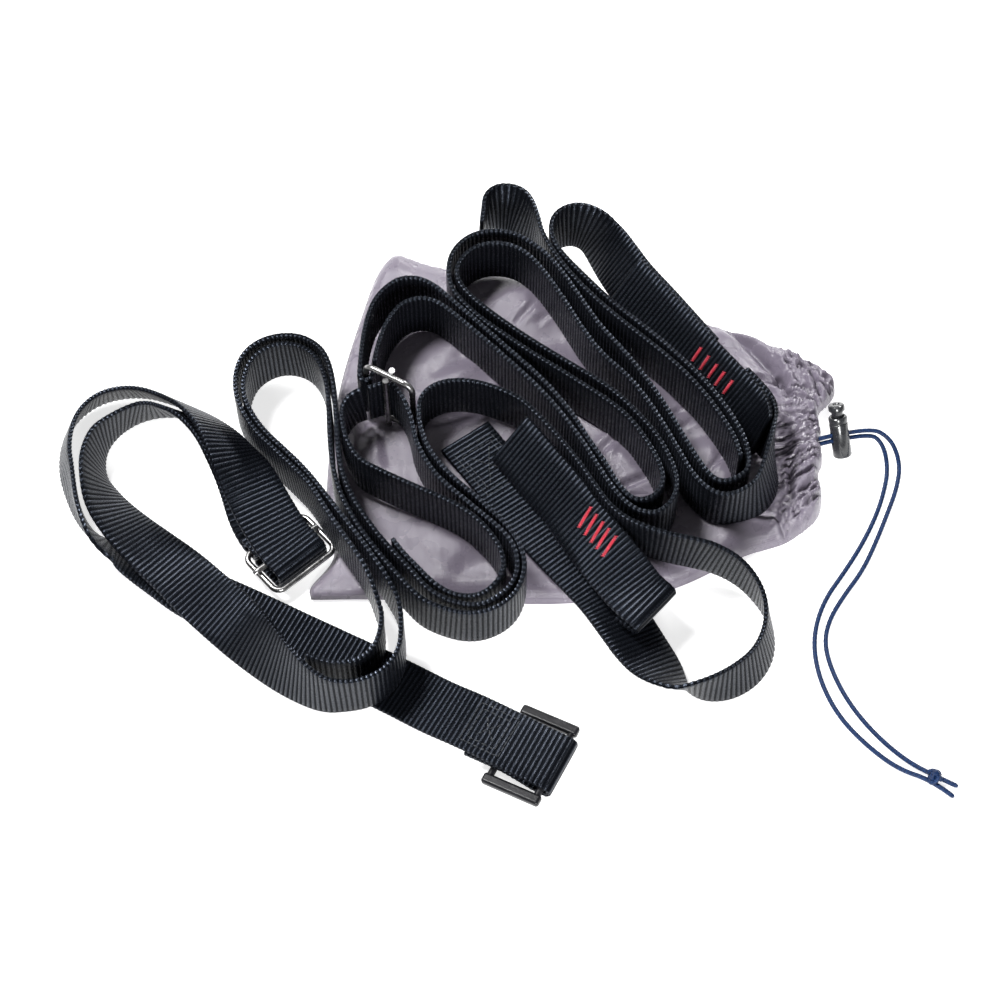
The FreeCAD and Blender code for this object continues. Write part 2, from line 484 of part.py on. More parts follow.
# ---------------------------------------------------------------- stuff sack
SACK_OUTLINE = [
    (-103, -84.5), (-101, -76), (-100, -66), (-103, -55), (-105.5, -42), (-105.5, -28),
    (-105, -15), (-103, 5), (-101, 22), (-97, 40), (-93, 56),
    (-89, 73), (-84, 84), (-78, 87), (-68, 83), (-56, 80), (-41, 78), (-25, 75), (-2, 69), (22, 62),
    (48, 54), (69, 47), (83, 39), (95, 31), (105, 24), (112, 17), (111, 9), (105, 2), (102, -6),
    (101, -16), (102, -27), (104, -39), (101, -48), (94, -54), (87, -59), (68, -65), (51, -76),
    (36, -82), (16, -86), (-3, -88), (-16, -88), (-45, -87), (-72, -86), (-90, -85), (-100, -84),
]
SACK_AXIS = (-84.0, 82.0)
MOUTH_START, MOUTH_FULL, MOUTH_HEIGHT = 88.0, 97.0, 17.0


def sack_height(x):
    """Height of the sack's top: low under the straps, bulging at the gathered mouth."""
    flat = 4.4 + 3.2 * min(1.0, max(0.0, (x + 98) / 30))
    bulge = min(1.0, max(0.0, (x - MOUTH_START) / (MOUTH_FULL - MOUTH_START)))
    return flat + (MOUTH_HEIGHT - flat) * bulge * bulge * (3 - 2 * bulge)


def sack():
    """Rings from the flat underside, round the rim and up over the top to a middle line."""
    points, rings = [], []

    def ring(inset, height_share, floor):
        rings.append(len(points))
        for x, y in SACK_OUTLINE:
            axis_x = min(max(x, SACK_AXIS[0]), SACK_AXIS[1])
            px, py = x + (axis_x - x) * inset, y + (-10 - y) * inset
            points.append(Vector(px, py, floor + (sack_height(px) - floor) * height_share))

    ring(0.045, 0.0, 0.0)
    ring(0.0, 0.0, 1.8)
    ring(0.012, 0.7, 1.8)
    ring(0.06, 1.0, 1.8)
    for inset in (0.16, 0.3, 0.5, 0.75):
        ring(inset, 1.0, 1.8)
    count = len(SACK_OUTLINE)
    triangles = []
    for low, high in zip(rings, rings[1:]):
        for i in range(count):
            j = (i + 1) % count
            triangles += [(low + i, low + j, high + j), (low + i, high + j, high + i)]
    top = sum((points[rings[-1] + i] for i in range(count)), Vector()) * (1.0 / count)
    bottom = Vector(0, -5, 0)
    points += [Vector(top.x, top.y, sack_height(top.x)), bottom]
    for i in range(count):
        j = (i + 1) % count
        triangles += [(rings[-1] + i, rings[-1] + j, len(points) - 2), (j, i, len(points) - 1)]
    NODES.append(feature("sack", solid_of(points, triangles)))


sack()

# ---------------------------------------------------------------- drawcord
# Two strands leave the mouth through the cord lock, run straight beside each other while
# the lock can slide, then drop to the ground and meet in a knot.
UPPER_STRAND = [
    (100.5, -16.3, 12.9), (124.5, -9.25, 12.9), (134.5, -12.5, 8.5),
    (138.5, -21.5, 2.8), (136.5, -32.5, 1.1), (131, -46, 1.1), (125, -60, 1.1), (118.5, -73, 1.1),
    (110, -84.5, 1.1), (103, -96, 1.1), (100.5, -107, 1.1), (103, -120, 1.1), (109, -134, 1.1),
    (118, -147, 1.1), (129.5, -158.5, 1.1), (141, -165.5, 1.6), (149, -169.5, 1.3),
]
LOWER_STRAND = [
    (100.5, -17.85, 11.1), (124.5, -10.8, 11.1), (131.5, -14, 6.3),
    (133.3, -24, 1.4), (130.5, -35.5, 1.1), (126, -47.5, 1.1), (119, -61, 1.1), (111, -73.5, 1.1),
    (102.5, -85.5, 1.1), (97.5, -98, 1.1), (96, -110.5, 1.1), (98, -124.5, 1.1), (104, -139, 1.1),
    (114, -151.5, 1.1), (126, -162, 1.1), (139, -167, 1.6), (147, -174, 1.3),
]
KNOT_AT = (139.8, -166.0)


def cord_path(route):
    """Straight runs joined by tangent arcs, each as large as its two runs allow."""
    points = [Vector(*p) for p in route]
    edges, start, radii = [], points[0], []
    for before, corner, after in zip(points, points[1:], points[2:]):
        back, ahead = before - corner, after - corner
        half_turn = (math.pi - back.getAngle(ahead)) / 2
        if half_turn < 0.01:
            continue
        reach = 0.45 * min(back.Length, ahead.Length)
        radii.append(reach / math.tan(half_turn))
        first = corner + back.normalize() * reach
        last = corner + ahead.normalize() * reach
        inward = (back + ahead).normalize()
        middle = corner + inward * (radii[-1] / math.cos(half_turn) - radii[-1])
        edges += [Part.LineSegment(start, first).toShape(), Part.Arc(first, middle, last).toShape()]
        start = last
    edges.append(Part.LineSegment(start, points[-1]).toShape())
    return Part.Wire(edges), radii


def cord(label, route):
    path, radii = cord_path(route)
    first = path.Edges[0]
    travel = first.tangentAt(first.FirstParameter)
    section = Part.Wire(Part.Circle(Vector(*route[0]), travel, size("cord") / 2).toShape())
    solid = path.makePipeShell([section], True, True)
    NODES.append(feature(label, solid))
    expected = math.pi * (size("cord") / 2) ** 2 * path.Length
    print("%s: length %.0f mm, volume %.0f of %.0f, radii %.0f to %.0f" % (
        label, path.Length, solid.Volume, expected, min(radii), max(radii)))


cord("drawcord_upper", UPPER_STRAND)
cord("drawcord_lower", LOWER_STRAND)
knot = add("Part::Sphere", "drawcord_knot", at(KNOT_AT[0], KNOT_AT[1], size("knot")), Radius="Sizes.knot")
NODES.append(knot)

# ---------------------------------------------------------------- cord lock
LOCK_MIDDLE = Vector(112.3, -13.6, 12.0)
LOCK_AXIS = Vector(0.172, -0.586, -0.792)
LOCK_SLIDE = Vector(0.959, 0.282, 0.0)
lock_turn = Rotation(LOCK_SLIDE, LOCK_AXIS.cross(LOCK_SLIDE), LOCK_AXIS, "ZXY")
lock_place = Placement(LOCK_MIDDLE, lock_turn)


def cord_lock():
    """A barrel with a cross channel; a sprung plunger in its bore carries the button."""
    mouth = -(size("barrel_long") / 2)
    bore_long = size("barrel_long") - size("barrel_floor")
    body = rod("barrel_body", "Sizes.barrel_long", "Sizes.barrel / 2", at(0, 0, mouth))
    bore = rod("barrel_hole", "Sizes.barrel_long - Sizes.barrel_floor", "Sizes.barrel_bore / 2",
               at(0, 0, mouth))
    channel = add("Part::Box", "barrel_channel",
                  at(-size("barrel"), -size("channel_wide") / 2, -size("channel_tall") / 2),
                  Length="2 * Sizes.barrel", Width="Sizes.channel_wide", Height="Sizes.channel_tall")
    hollow = doc.addObject("Part::MultiFuse", "barrel_hollow")
    hollow.Shapes = [bore, channel]
    barrel = doc.addObject("Part::Cut", "cord_lock_barrel")
    barrel.Base, barrel.Tool = body, hollow
    barrel.Label = "cord_lock_barrel"
    barrel.Placement = lock_place
    NODES.append(barrel)
    stem = rod("plunger_stem", "Sizes.plunger_long", "Sizes.plunger / 2",
               at(0, 0, mouth - size("press_travel") - 0.6))
    head = rod("plunger_head", "Sizes.button_tall", "Sizes.button / 2",
               at(0, 0, mouth - size("press_travel") - 0.6 - size("button_tall")))
    slot = add("Part::Box", "plunger_slot",
               at(-size("barrel"), -size("channel_wide") / 2,
                  -size("channel_tall") / 2 - size("press_travel")),
               Length="2 * Sizes.barrel", Width="Sizes.channel_wide",
               Height="Sizes.channel_tall + Sizes.press_travel")
    solid = doc.addObject("Part::MultiFuse", "plunger_solid")
    solid.Shapes = [stem, head]
    plunger = doc.addObject("Part::Cut", "cord_lock_plunger")
    plunger.Base, plunger.Tool = solid, slot
    plunger.Label = "cord_lock_plunger"
    plunger.Placement = lock_place
    NODES.append(plunger)


cord_lock()

# ---------------------------------------------------------------- checks and export
doc.recompute()
for obj in doc.Objects:
    if any(word in obj.State for word in ("Invalid", "Error")):
        raise RuntimeError("%s failed: %s" % (obj.Label, obj.State))
for node in NODES:
    shape = node.Shape
    if shape.isNull() or not shape.isValid() or shape.Volume <= 0:
        raise RuntimeError("%s has no valid solid" % node.Label)
    box = shape.BoundBox
    print("%-20s faces %5d solids %2d volume %8.0f z %6.2f to %6.2f" % (
        node.Label, len(shape.Faces), len(shape.Solids), shape.Volume, box.ZMin, box.ZMax))

os.makedirs("parts", exist_ok=True)
for node in NODES:
    node.Shape.exportStep("parts/%s.step" % node.Label)
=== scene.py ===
"""Black 25 mm webbing straps with wire buckles, snaked over a grey drawstring stuff sack.

Metres, +Z up. The origin is the centre of the sack's underside, on the floor.
"""

import math

import bpy
import numpy as np
from mathutils import Matrix, Vector, noise
from mathutils.bvhtree import BVHTree
from mathutils.geometry import delaunay_2d_cdt


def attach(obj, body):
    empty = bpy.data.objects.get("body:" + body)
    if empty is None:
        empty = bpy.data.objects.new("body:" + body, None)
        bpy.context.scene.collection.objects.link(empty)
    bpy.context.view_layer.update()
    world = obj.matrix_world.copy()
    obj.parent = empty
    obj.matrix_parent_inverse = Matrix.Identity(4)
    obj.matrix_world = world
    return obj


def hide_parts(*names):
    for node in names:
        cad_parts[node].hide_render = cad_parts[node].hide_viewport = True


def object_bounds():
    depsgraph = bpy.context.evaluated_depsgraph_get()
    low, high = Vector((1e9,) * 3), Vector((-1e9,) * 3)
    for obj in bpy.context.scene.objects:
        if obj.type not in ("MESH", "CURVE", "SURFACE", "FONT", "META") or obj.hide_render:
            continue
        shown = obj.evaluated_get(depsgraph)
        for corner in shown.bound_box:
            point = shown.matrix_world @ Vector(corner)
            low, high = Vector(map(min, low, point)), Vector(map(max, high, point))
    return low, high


MM = 0.001

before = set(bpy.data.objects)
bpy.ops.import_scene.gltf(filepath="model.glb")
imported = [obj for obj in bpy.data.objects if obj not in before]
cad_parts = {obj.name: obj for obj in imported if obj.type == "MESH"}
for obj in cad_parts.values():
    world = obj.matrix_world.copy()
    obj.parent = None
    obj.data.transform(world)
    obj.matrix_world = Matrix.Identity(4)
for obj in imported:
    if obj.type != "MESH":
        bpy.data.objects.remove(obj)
cad_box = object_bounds()
FLOOR = cad_box[0][2]

# ---------------- camera and light
CAMERA_TARGET = Vector((-0.032, -0.038, 0.0))
CAMERA_DISTANCE = 1.0
CAMERA_ELEVATION = math.radians(60)
CAMERA_LENS, CAMERA_SENSOR = 85, 36
SKY_STRENGTH, FLOOR_SIZE, FLOOR_GLOW = 0.2, 12, 0.72
SOFTBOX_SIZE = 0.3
# Softboxes: (name, place, power).
SOFTBOXES = (
    ("key", (-0.5, 0.25, 1.0), 15), ("back", (0.35, 0.95, 0.6), 8), ("front", (0.1, -0.95, 0.45), 9),
)


def hang(name, data, place):
    """A camera or light at a place, aimed at the object."""
    holder = bpy.data.objects.new(name, data)
    holder.location = place
    holder.rotation_euler = (CAMERA_TARGET - holder.location).to_track_quat("-Z", "Y").to_euler()
    bpy.context.collection.objects.link(holder)
    return holder


def make_camera():
    camera = bpy.data.cameras.new("camera")
    camera.lens, camera.sensor_width = CAMERA_LENS, CAMERA_SENSOR
    away = Vector((0, -math.cos(CAMERA_ELEVATION), math.sin(CAMERA_ELEVATION)))
    bpy.context.scene.camera = hang("camera", camera, CAMERA_TARGET + away * CAMERA_DISTANCE)


def make_studio():
    world = bpy.data.worlds.new("studio")
    world.use_nodes = True
    background = world.node_tree.nodes["Background"]
    background.inputs["Color"].default_value = (1.0, 1.0, 1.0, 1)
    background.inputs["Strength"].default_value = SKY_STRENGTH
    bpy.context.scene.world = world
    bpy.context.scene.view_settings.view_transform = "Standard"
    for name, place, power in SOFTBOXES:
        light = bpy.data.lights.new(name, "AREA")
        light.shape, light.size, light.energy = "DISK", SOFTBOX_SIZE, power
        hang(name, light, place)
    bpy.ops.mesh.primitive_plane_add(size=FLOOR_SIZE, location=(0, 0, FLOOR - 0.1 * MM))
    floor = bpy.context.object
    floor.name = "floor"
    floor.data.materials.append(floor_paper())


# ---------------- materials
RIB_PITCH = 2.1 * MM
RIB_WAVE = math.pi * MM / (10 * RIB_PITCH)  # wave texture scale of one band for each rib


class Look:
    """A node material, with short calls for the nodes the finishes share."""

    def __init__(self, name, **values):
        self.material = bpy.data.materials.new(name)
        self.material.use_nodes = True
        self.nodes = self.material.node_tree.nodes
        self.links = self.material.node_tree.links
        self.shader = self.nodes["Principled BSDF"]
        for key, value in values.items():
            self.shader.inputs[key.replace("_", " ")].default_value = value

    def node(self, kind, settings=None, **inputs):
        made = self.nodes.new("ShaderNode" + kind)
        for key, value in (settings or {}).items():
            setattr(made, key, value)
        for key, value in inputs.items():
            self.feed(made.inputs[key.replace("_", " ")], value)
        return made

    def feed(self, socket, value):
        if isinstance(value, bpy.types.NodeSocket):
            self.links.new(value, socket)
        else:
            socket.default_value = value

    def maths(self, operation, a, b):
        made = self.node("Math", {"operation": operation})
        self.feed(made.inputs[0], a)
        self.feed(made.inputs[1], b)
        return made.outputs[0]

    def uv(self, along, across):
        """The surface's own coordinates in millimetres, scaled along and across."""
        scaled = self.node("Mapping", Vector=self.node("UVMap").outputs[0], Scale=(along, across, 1))
        return scaled.outputs[0]

    def solid(self, scale):
        place = self.node("TexCoord").outputs["Object"]
        return self.node("Mapping", Vector=place, Scale=(scale, scale, scale)).outputs[0]

    def clouds(self, place, scale, detail=3.0):
        return self.node("TexNoise", Vector=place, Scale=scale, Detail=detail, Roughness=0.55).outputs[0]

    def bands(self, direction, place, scale, distortion=0.0):
        return self.node("TexWave", {"wave_type": "BANDS", "bands_direction": direction},
                         Vector=place, Scale=scale, Distortion=distortion).outputs["Fac"]

    def ramp(self, factor, *stops):
        made = self.node("ValToRGB", Fac=factor)
        ramp = made.color_ramp
        for i, (place, colour) in enumerate(stops):
            stop = ramp.elements[i] if i < 2 else ramp.elements.new(place)
            stop.position = place
            stop.color = (*colour, 1)
        return made.outputs[0]

    def spread(self, factor, low, high):
        """A number from low to high as the factor goes from 0.25 to 0.75."""
        made = self.node("MapRange", Value=factor)
        for key, value in zip(("From Min", "From Max", "To Min", "To Max"), (0.25, 0.75, low, high)):
            made.inputs[key].default_value = value
        return made.outputs[0]

    def relief(self, height, depth, under=None):
        made = self.node("Bump", Height=height, Distance=depth, Strength=1.0)
        if under is not None:
            self.links.new(under, made.inputs["Normal"])
        self.links.new(made.outputs[0], self.shader.inputs["Normal"])
        return made.outputs[0]

    def colour(self, socket):
        self.links.new(socket, self.shader.inputs["Base Color"])

    def rough(self, socket):
        self.links.new(socket, self.shader.inputs["Roughness"])


def floor_paper():
    look = Look("floor_paper", Roughness=0.9, Specular_IOR_Level=0.1,
                Emission_Color=(1, 1, 1, 1), Emission_Strength=FLOOR_GLOW)
    grain = look.clouds(look.solid(1.0), 60.0)
    look.colour(look.ramp(grain, (0.3, (0.78, 0.78, 0.78)), (0.7, (0.82, 0.82, 0.82))))
    look.relief(grain, 0.00005)
    return look.material


def webbing_weave():
    """Black polyester: fine warp threads across each rib, random dark patches, and painted shade in the
    grooves between ribs, where the shine is turned down.
    """
    look = Look("webbing_weave", Sheen_Weight=0.02, Sheen_Roughness=0.35,
                Sheen_Tint=(0.72, 0.78, 1.0, 1), Specular_Tint=(0.68, 0.78, 1.0, 1))
    threads = look.bands("Y", look.uv(0.0, 1.0), 0.55)
    twist = look.clouds(look.uv(0.9, 3.0), 1.0, 4.0)
    weave = look.maths("MULTIPLY_ADD", twist, 0.6)
    look.feed(weave.node.inputs[2], threads)
    patches = look.clouds(look.uv(0.03, 0.06), 1.0, 3.0)
    look.colour(look.ramp(
        look.maths("ADD", look.maths("MULTIPLY", patches, 0.6), look.maths("MULTIPLY", twist, 0.4)),
        (0.3, (0.0015, 0.0018, 0.0026)), (0.72, (0.005, 0.0058, 0.008))))
    look.rough(look.spread(twist, 0.22, 0.34))
    # Painted shade: the shine is turned down towards the grooves between ribs and up on their crests,
    # standing in for the shade that falls in the grooves.
    ribs = look.bands("X", look.uv(1.0, 0.0), RIB_WAVE)
    look.feed(look.shader.inputs["Specular IOR Level"], look.spread(ribs, 0.04, 0.46))
    look.relief(weave, 0.00006)
    return look.material


def sewing_thread(name, dark, light):
    look = Look(name, Sheen_Weight=0.4, Sheen_Roughness=0.35, Specular_IOR_Level=0.45)
    twist = look.bands("DIAGONAL", look.solid(1.0), 900.0, 1.5)
    fluff = look.clouds(look.solid(1.0), 700.0)
    look.colour(look.ramp(fluff, (0.3, dark), (0.7, light)))
    look.rough(look.spread(fluff, 0.42, 0.62))
    look.relief(twist, 0.0001)
    return look.material


def sack_nylon():
    """Thin mauve-grey nylon: a close plain weave, soft crumples and a low shine."""
    look = Look("sack_nylon", Sheen_Weight=0.12, Sheen_Roughness=0.3, Specular_IOR_Level=0.8,
                Sheen_Tint=(0.95, 0.92, 1.0, 1))
    place = look.solid(1.0)
    shade = look.clouds(place, 22.0, 5.0)
    look.colour(look.ramp(shade, (0.3, (0.176, 0.154, 0.198)), (0.72, (0.207, 0.182, 0.232))))
    look.rough(look.spread(look.clouds(place, 90.0), 0.22, 0.34))
    weave = look.maths("ADD", look.bands("X", place, 650.0), look.bands("Y", place, 650.0))
    crumple = look.node("TexNoise", {"noise_type": "RIDGED_MULTIFRACTAL"},
                        Vector=place, Scale=38.0, Detail=4.0).outputs[0]
    soft = look.relief(crumple, 0.0005)
    look.relief(weave, 0.00004, under=soft)
    return look.material


def cord_braid():
    look = Look("cord_braid", Sheen_Weight=0.08, Sheen_Roughness=0.35, Specular_IOR_Level=0.3)
    fleck = look.clouds(look.uv(1.3, 0.8), 1.0, 3.0)
    look.colour(look.ramp(fleck, (0.32, (0.001, 0.008, 0.038)), (0.62, (0.003, 0.026, 0.10)),
                          (0.8, (0.02, 0.08, 0.2))))
    look.rough(look.spread(fleck, 0.38, 0.6))
    look.relief(look.clouds(look.uv(4.0, 2.0), 1.0), 0.0001)
    return look.material


def wire_steel():
    look = Look("wire_steel", Metallic=1.0)
    place = look.solid(1.0)
    worn = look.clouds(place, 160.0, 6.0)
    look.colour(look.ramp(worn, (0.3, (0.20, 0.20, 0.205)), (0.7, (0.42, 0.415, 0.41))))
    look.rough(look.spread(look.clouds(place, 420.0), 0.2, 0.38))
    look.relief(worn, 0.00012)
    return look.material


def black_enamel():
    look = Look("black_enamel", Coat_Weight=0.15, Coat_Roughness=0.15, Specular_IOR_Level=0.22)
    place = look.solid(1.0)
    grain = look.clouds(place, 500.0, 4.0)
    wear = look.clouds(place, 120.0, 5.0)
    look.colour(look.ramp(wear, (0.55, (0.008, 0.008, 0.01)), (0.8, (0.035, 0.035, 0.04))))
    look.rough(look.spread(grain, 0.26, 0.42))
    look.relief(grain, 0.00008)
    return look.material


def lock_plastic():
    look = Look("lock_plastic", Coat_Weight=0.6, Coat_Roughness=0.08)
    place = look.solid(1.0)
    scuffs = look.clouds(place, 220.0, 5.0)
    look.colour(look.ramp(scuffs, (0.35, (0.012, 0.013, 0.015)), (0.75, (0.04, 0.042, 0.046))))
    look.rough(look.spread(scuffs, 0.18, 0.34))
    look.relief(look.clouds(place, 800.0), 0.00004)
    return look.material


# ---------------- webbing routes
def metres(*lengths):
    return tuple(round(length * MM, 7) for length in lengths)


def route(*points):
    """Points in metres from millimetres; a short point keeps the rest of the one before it."""
    full = [points[0]]
    for point in points[1:]:
        full.append(point + full[-1][len(point):])
    return [metres(*point[:3]) + point[3:] for point in full]


# A strap's points are (x, y, z, lean): lean is the angle of its width above the horizontal,
# in degrees from the left of travel, so 0 and 180 lie flat and 90 stands on edge.
FRONT_LOOP = route(
    (-131, -49.5, 14.5, 2), (-137, -38.5, 19, 14), (-143, -29, 21.5, 32), (-150, -16.5, 21, 48),
    (-161, -4.5, 18, 60), (-172, 3.5, 12.8, 66), (-186.5, 8.8), (-201.5, 6.5), (-211.5, -2, 12.8, 67),
    (-215.5, -13.5, 12.8, 70), (-215.5, -26, 12.8, 73), (-212.5, -36.5, 12.7, 76),
    (-209, -47.5, 12.8, 83), (-204, -57.5, 13, 94), (-196, -65.5, 12, 122), (-187.5, -67, 8, 152),
    (-172, -73.5, 3.5, 174), (-157.5, -84, 1.6, 180), (-139, -92.5, 1.3), (-116, -104.5), (-93, -116),
    (-72.5, -126.5), (-57.5, -136, 3.4), (-44, -143.5, 6.6),
)
MAIN_ROUTE = route(
    (-134, -48.5, 8, 184), (-137.5, -39, 14.5, 194), (-143.5, -29.5, 18.3, 210),
    (-151.5, -18, 18.3, 227), (-162.5, -7, 16.3, 238), (-173, -1, 12.6, 246), (-183.5, -1, 12.6, 254),
    (-192, -6.5, 14, 258), (-198, -12, 14, 264), (-202, -18.5, 14, 275), (-203, -27, 14, 284),
    (-201, -36.5, 14.5, 297), (-195.5, -48.5, 13, 318), (-185.5, -59.5, 11.5, 332),
    (-175, -68.5, 9.5, 344), (-165, -76.5, 8, 353), (-155, -86, 6.5, 367), (-143, -97.5, 7, 383),
    (-130, -111.5, 9.5, 406), (-115.5, -127, 13.5, 429), (-103, -136, 15.2, 441),
    (-92.5, -137, 15.6, 448), (-84, -135), (-76.5, -130, 15.6, 449), (-71.5, -121.5), (-71, -111, 16.5),
    (-72.5, -101, 19, 450), (-76.5, -93.5, 21), (-82, -85, 22.6), (-88.5, -75.5, 22.8), (-96, -65),
    (-104.5, -52.5, 21.5), (-112.5, -41, 20), (-121.5, -31, 19), (-129.5, -22.5, 18),
    (-135.5, -13.5, 17), (-140, -3.5, 16.5), (-140.5, 6, 16), (-138, 15), (-132, 21), (-124.5, 23.5),
    (-116.5, 21.5, 16.5), (-110.5, 16, 17.5), (-106.5, 7, 19.5), (-104, -4.5, 21.5),
    (-103, -18.5, 22.8), (-102, -32.5), (-100, -45), (-96.5, -56), (-91, -67, 22.5), (-84.5, -77),
    (-77.5, -86.5), (-70.5, -95), (-63.5, -103), (-54.5, -107, 22), (-46.5, -109, 21.5),
    (-38.5, -108.5), (-31, -105), (-25.5, -99.5), (-22.5, -92, 22), (-22, -84.5, 22.5),
    (-24.5, -77, 22.8), (-29, -69.5), (-35.5, -62.5, 22.5), (-42, -55.5), (-49, -49), (-55.5, -42),
    (-61, -34), (-64.5, -25), (-66, -16.5), (-65.5, -8.5), (-61.5, -3), (-55, 0), (-47.5, 0.5),
    (-39.5, -1), (-31.5, -4.5, 23), (-23, -9, 23, 451), (-15, -18), (-7, -28, 22.5), (0.5, -39),
    (7, -50.5), (13.5, -61), (21, -67.5, 23), (29.5, -71.5, 23.5), (38, -74, 23), (46.5, -75.5, 22.5),
    (55, -77, 20.5, 452), (63.5, -81, 19, 453), (70, -87, 17.5, 455), (75, -95, 16, 458),
    (77, -103.5, 15, 462), (76, -113.5, 14, 464), (70.5, -123, 13.5, 462), (61.5, -129.5, 13.2, 458),
    (52, -132.5, 13.2, 448), (44.5, -132.5, 13, 434), (39.5, -131.5, 12.5, 418),
    (35.5, -128, 11.8, 404), (31, -122, 11.2, 387), (25, -113.5, 10.8, 377), (18.5, -102, 10.6, 373),
    (11, -89, 10.8, 366), (1.5, -77.5, 11, 362), (-12, -61.5, 11, 361), (-26, -42, 11, 360),
    (-47, -13, 10.8),
)
TAIL_ROUTE = route(
    (-109, -126, 15, 257), (-103, -128, 15.5, 263), (-94.5, -128, 15.6, 269), (-88, -126.5, 15.6, 270),
    (-83, -122.5), (-80, -116, 15.8), (-79, -107, 17), (-81.5, -99, 19.5), (-84.5, -91, 21.5),
    (-89, -83, 22.8), (-95, -74), (-102, -63, 22.5), (-109.5, -49, 20.5), (-118, -38.5, 18.5),
    (-126.5, -29, 17), (-134.5, -20, 16), (-140.5, -10), (-144, 0.5, 15.5), (-144, 11),
    (-140.5, 19.5, 16), (-133.5, 25, 16.5), (-125, 27, 17), (-116, 25.5, 18), (-108.5, 19.5, 19),
    (-104, 10, 21.5), (-101.5, -2.5, 22.8), (-100, -18.5), (-99, -32.5), (-97, -44), (-93, -54.5, 22.5),
    (-88, -63.5), (-81, -74), (-74, -82.5), (-67, -90.5), (-61, -98.5), (-53.5, -103, 22),
    (-46, -105, 21.5), (-39, -105), (-33, -101.5), (-28, -97), (-25, -90.5, 22), (-25, -84, 22.5),
    (-27, -77.5, 22.8), (-31.5, -71.5), (-37.5, -65.5, 22.5), (-44.5, -59), (-51.5, -52.5), (-58, -46),
    (-63, -38, 22.8), (-67, -29, 23.4), (-68.5, -20.5, 24.3), (-70.8, -13, 24.7), (-74.3, -6),
    (-78, -2), (-83, -3.2), (-87.3, -4.9),
)
TAIL_END_ROUTE = route(
    (-89, -5.3, 24.7, 270), (-91.5, -6, 24.6), (-95.5, -9, 23.6), (-98, -14, 22.6),
    (-97.5, -21.5, 22.5), (-95, -30), (-90.5, -38), (-83, -42.5), (-72.5, -48), (-60.5, -54),
    (-50, -59.5, 22.8), (-41.5, -66), (-35, -74), (-31, -81.5, 22.5), (-30.5, -88.5, 22), (-33, -95),
    (-38.5, -100, 21.5), (-45, -101.5), (-52.5, -100, 22), (-59.5, -95, 22.5), (-65.5, -88), (-71, -82),
    (-75, -76, 22),
)
REAR_OUTER_ROUTE = route(
    (54.3, 19.8, 20, 132), (43.8, 34.8), (34.6, 47.6, 20, 133), (26.2, 58.7), (20, 70, 20, 131),
    (14.5, 81.5, 18.5, 124), (10, 87.5, 20.5, 111), (3, 90.5, 22, 104), (-4, 89, 22.5, 98),
    (-9, 84.5, 22.5, 92), (-10, 77, 22.5, 90), (-7, 68.5), (0, 59), (8.5, 49), (16.5, 39.5),
    (26.5, 29.5, 23, 89), (35.5, 20.5, 23, 88), (44, 11), (52.5, 1), (59.5, -9.5), (65, -19.5),
    (69, -28.5, 23, 89), (70.5, -37, 22.5), (69.5, -43.5), (64.5, -47.5, 22.5, 90), (58.5, -49),
    (54, -46), (50, -39.5), (45, -29.5), (39.5, -17.5), (33.5, -5.5), (26.5, 6), (19, 17), (10.5, 28),
    (3, 41.5), (-4, 54), (-10, 63.5), (-17.5, 71), (-25.5, 76.5), (-34.5, 78), (-43, 76.5),
    (-49.5, 71.5), (-53.5, 64.5), (-54.5, 56.5), (-53, 48), (-48, 40), (-39.5, 31), (-29, 22.5),
    (-18.5, 14), (-8, 6.5), (2, -1), (12.5, -9), (21.5, -17.5), (28, -28), (32.5, -37), (35, -45.5),
    (34, -51.5), (30.5, -56), (25.5, -57.5), (21, -56.5), (15.5, -49), (11, -39), (5, -29.5),
    (-0.5, -18.5), (-7, -8.5), (-15.5, 2.5), (-25.5, 13), (-35, 23), (-44.5, 33), (-53, 41.5),
    (-60, 49), (-67.5, 53), (-75.5, 52.5), (-81.5, 47.5), (-86, 41), (-88.5, 32.5), (-89.8, 24, 22.8),
    (-90.5, 15, 23.6), (-90.8, 6, 24.6), (-91, -1, 24.7), (-85, -1), (-85.2, 5.2),
)
REAR_INNER_ROUTE = route(
    (66.5, 6, 18.2, 46), (75, -4, 18, 48), (80, -14.5, 19.5, 66), (82, -25, 21.5, 93),
    (81.5, -34, 23, 106), (79, -43, 23.5, 108), (75.5, -49, 23, 102), (69, -53, 23, 94),
    (62, -55.5, 23, 90), (57, -55), (52, -52), (46.5, -44.5, 22.5), (41.5, -33.5), (36, -21.5),
    (29.5, -9), (21.5, 3), (11, 13.5), (3, 26.5), (-4, 40.5), (-11, 53), (-17.5, 63), (-25, 69.5),
    (-33.5, 71.5), (-41.5, 70), (-47, 65.5), (-50.5, 59.5), (-50.5, 52), (-45.5, 44), (-36, 35),
    (-25.5, 26), (-14.5, 17.5), (-4, 10), (6.5, 2.5), (16.5, -5.5), (25, -15.5), (32.5, -25.5),
    (37.5, -36), (40.5, -46), (40, -54), (36.5, -60.5, 22.5, 91), (31, -64), (24.5, -63), (18.5, -58.5),
    (13, -50.5), (8, -41.5), (3, -31.5), (-3, -21.5), (-10, -11), (-18, -1), (-27.5, 9.5, 22.5, 90),
    (-37, 19.5), (-46.5, 29), (-55, 37.5), (-62, 42), (-69, 42), (-75, 38.5), (-79.5, 31.5),
    (-82.3, 23.5, 22.8), (-84, 15, 23.6), (-85.1, 6.8, 24.6),
)
REAR_END_ROUTE = route(
    (-40, 83, 21.5, 90), (-40.5, 91, 21.5, 96), (-38, 98, 22, 88), (-32, 100, 22, 70),
    (-25, 98.5, 22, 66), (-20.5, 93, 22, 72), (-16.5, 86, 22.5, 84), (-14, 78, 22.5, 90), (-10.5, 70),
    (-5, 60), (3, 49), (12, 38.5), (22, 28.5), (31.5, 19.5), (40.5, 10.5), (49, 0.5), (56.6, -11),
    (62, -20.9), (65.8, -29.5), (67.2, -37),
)
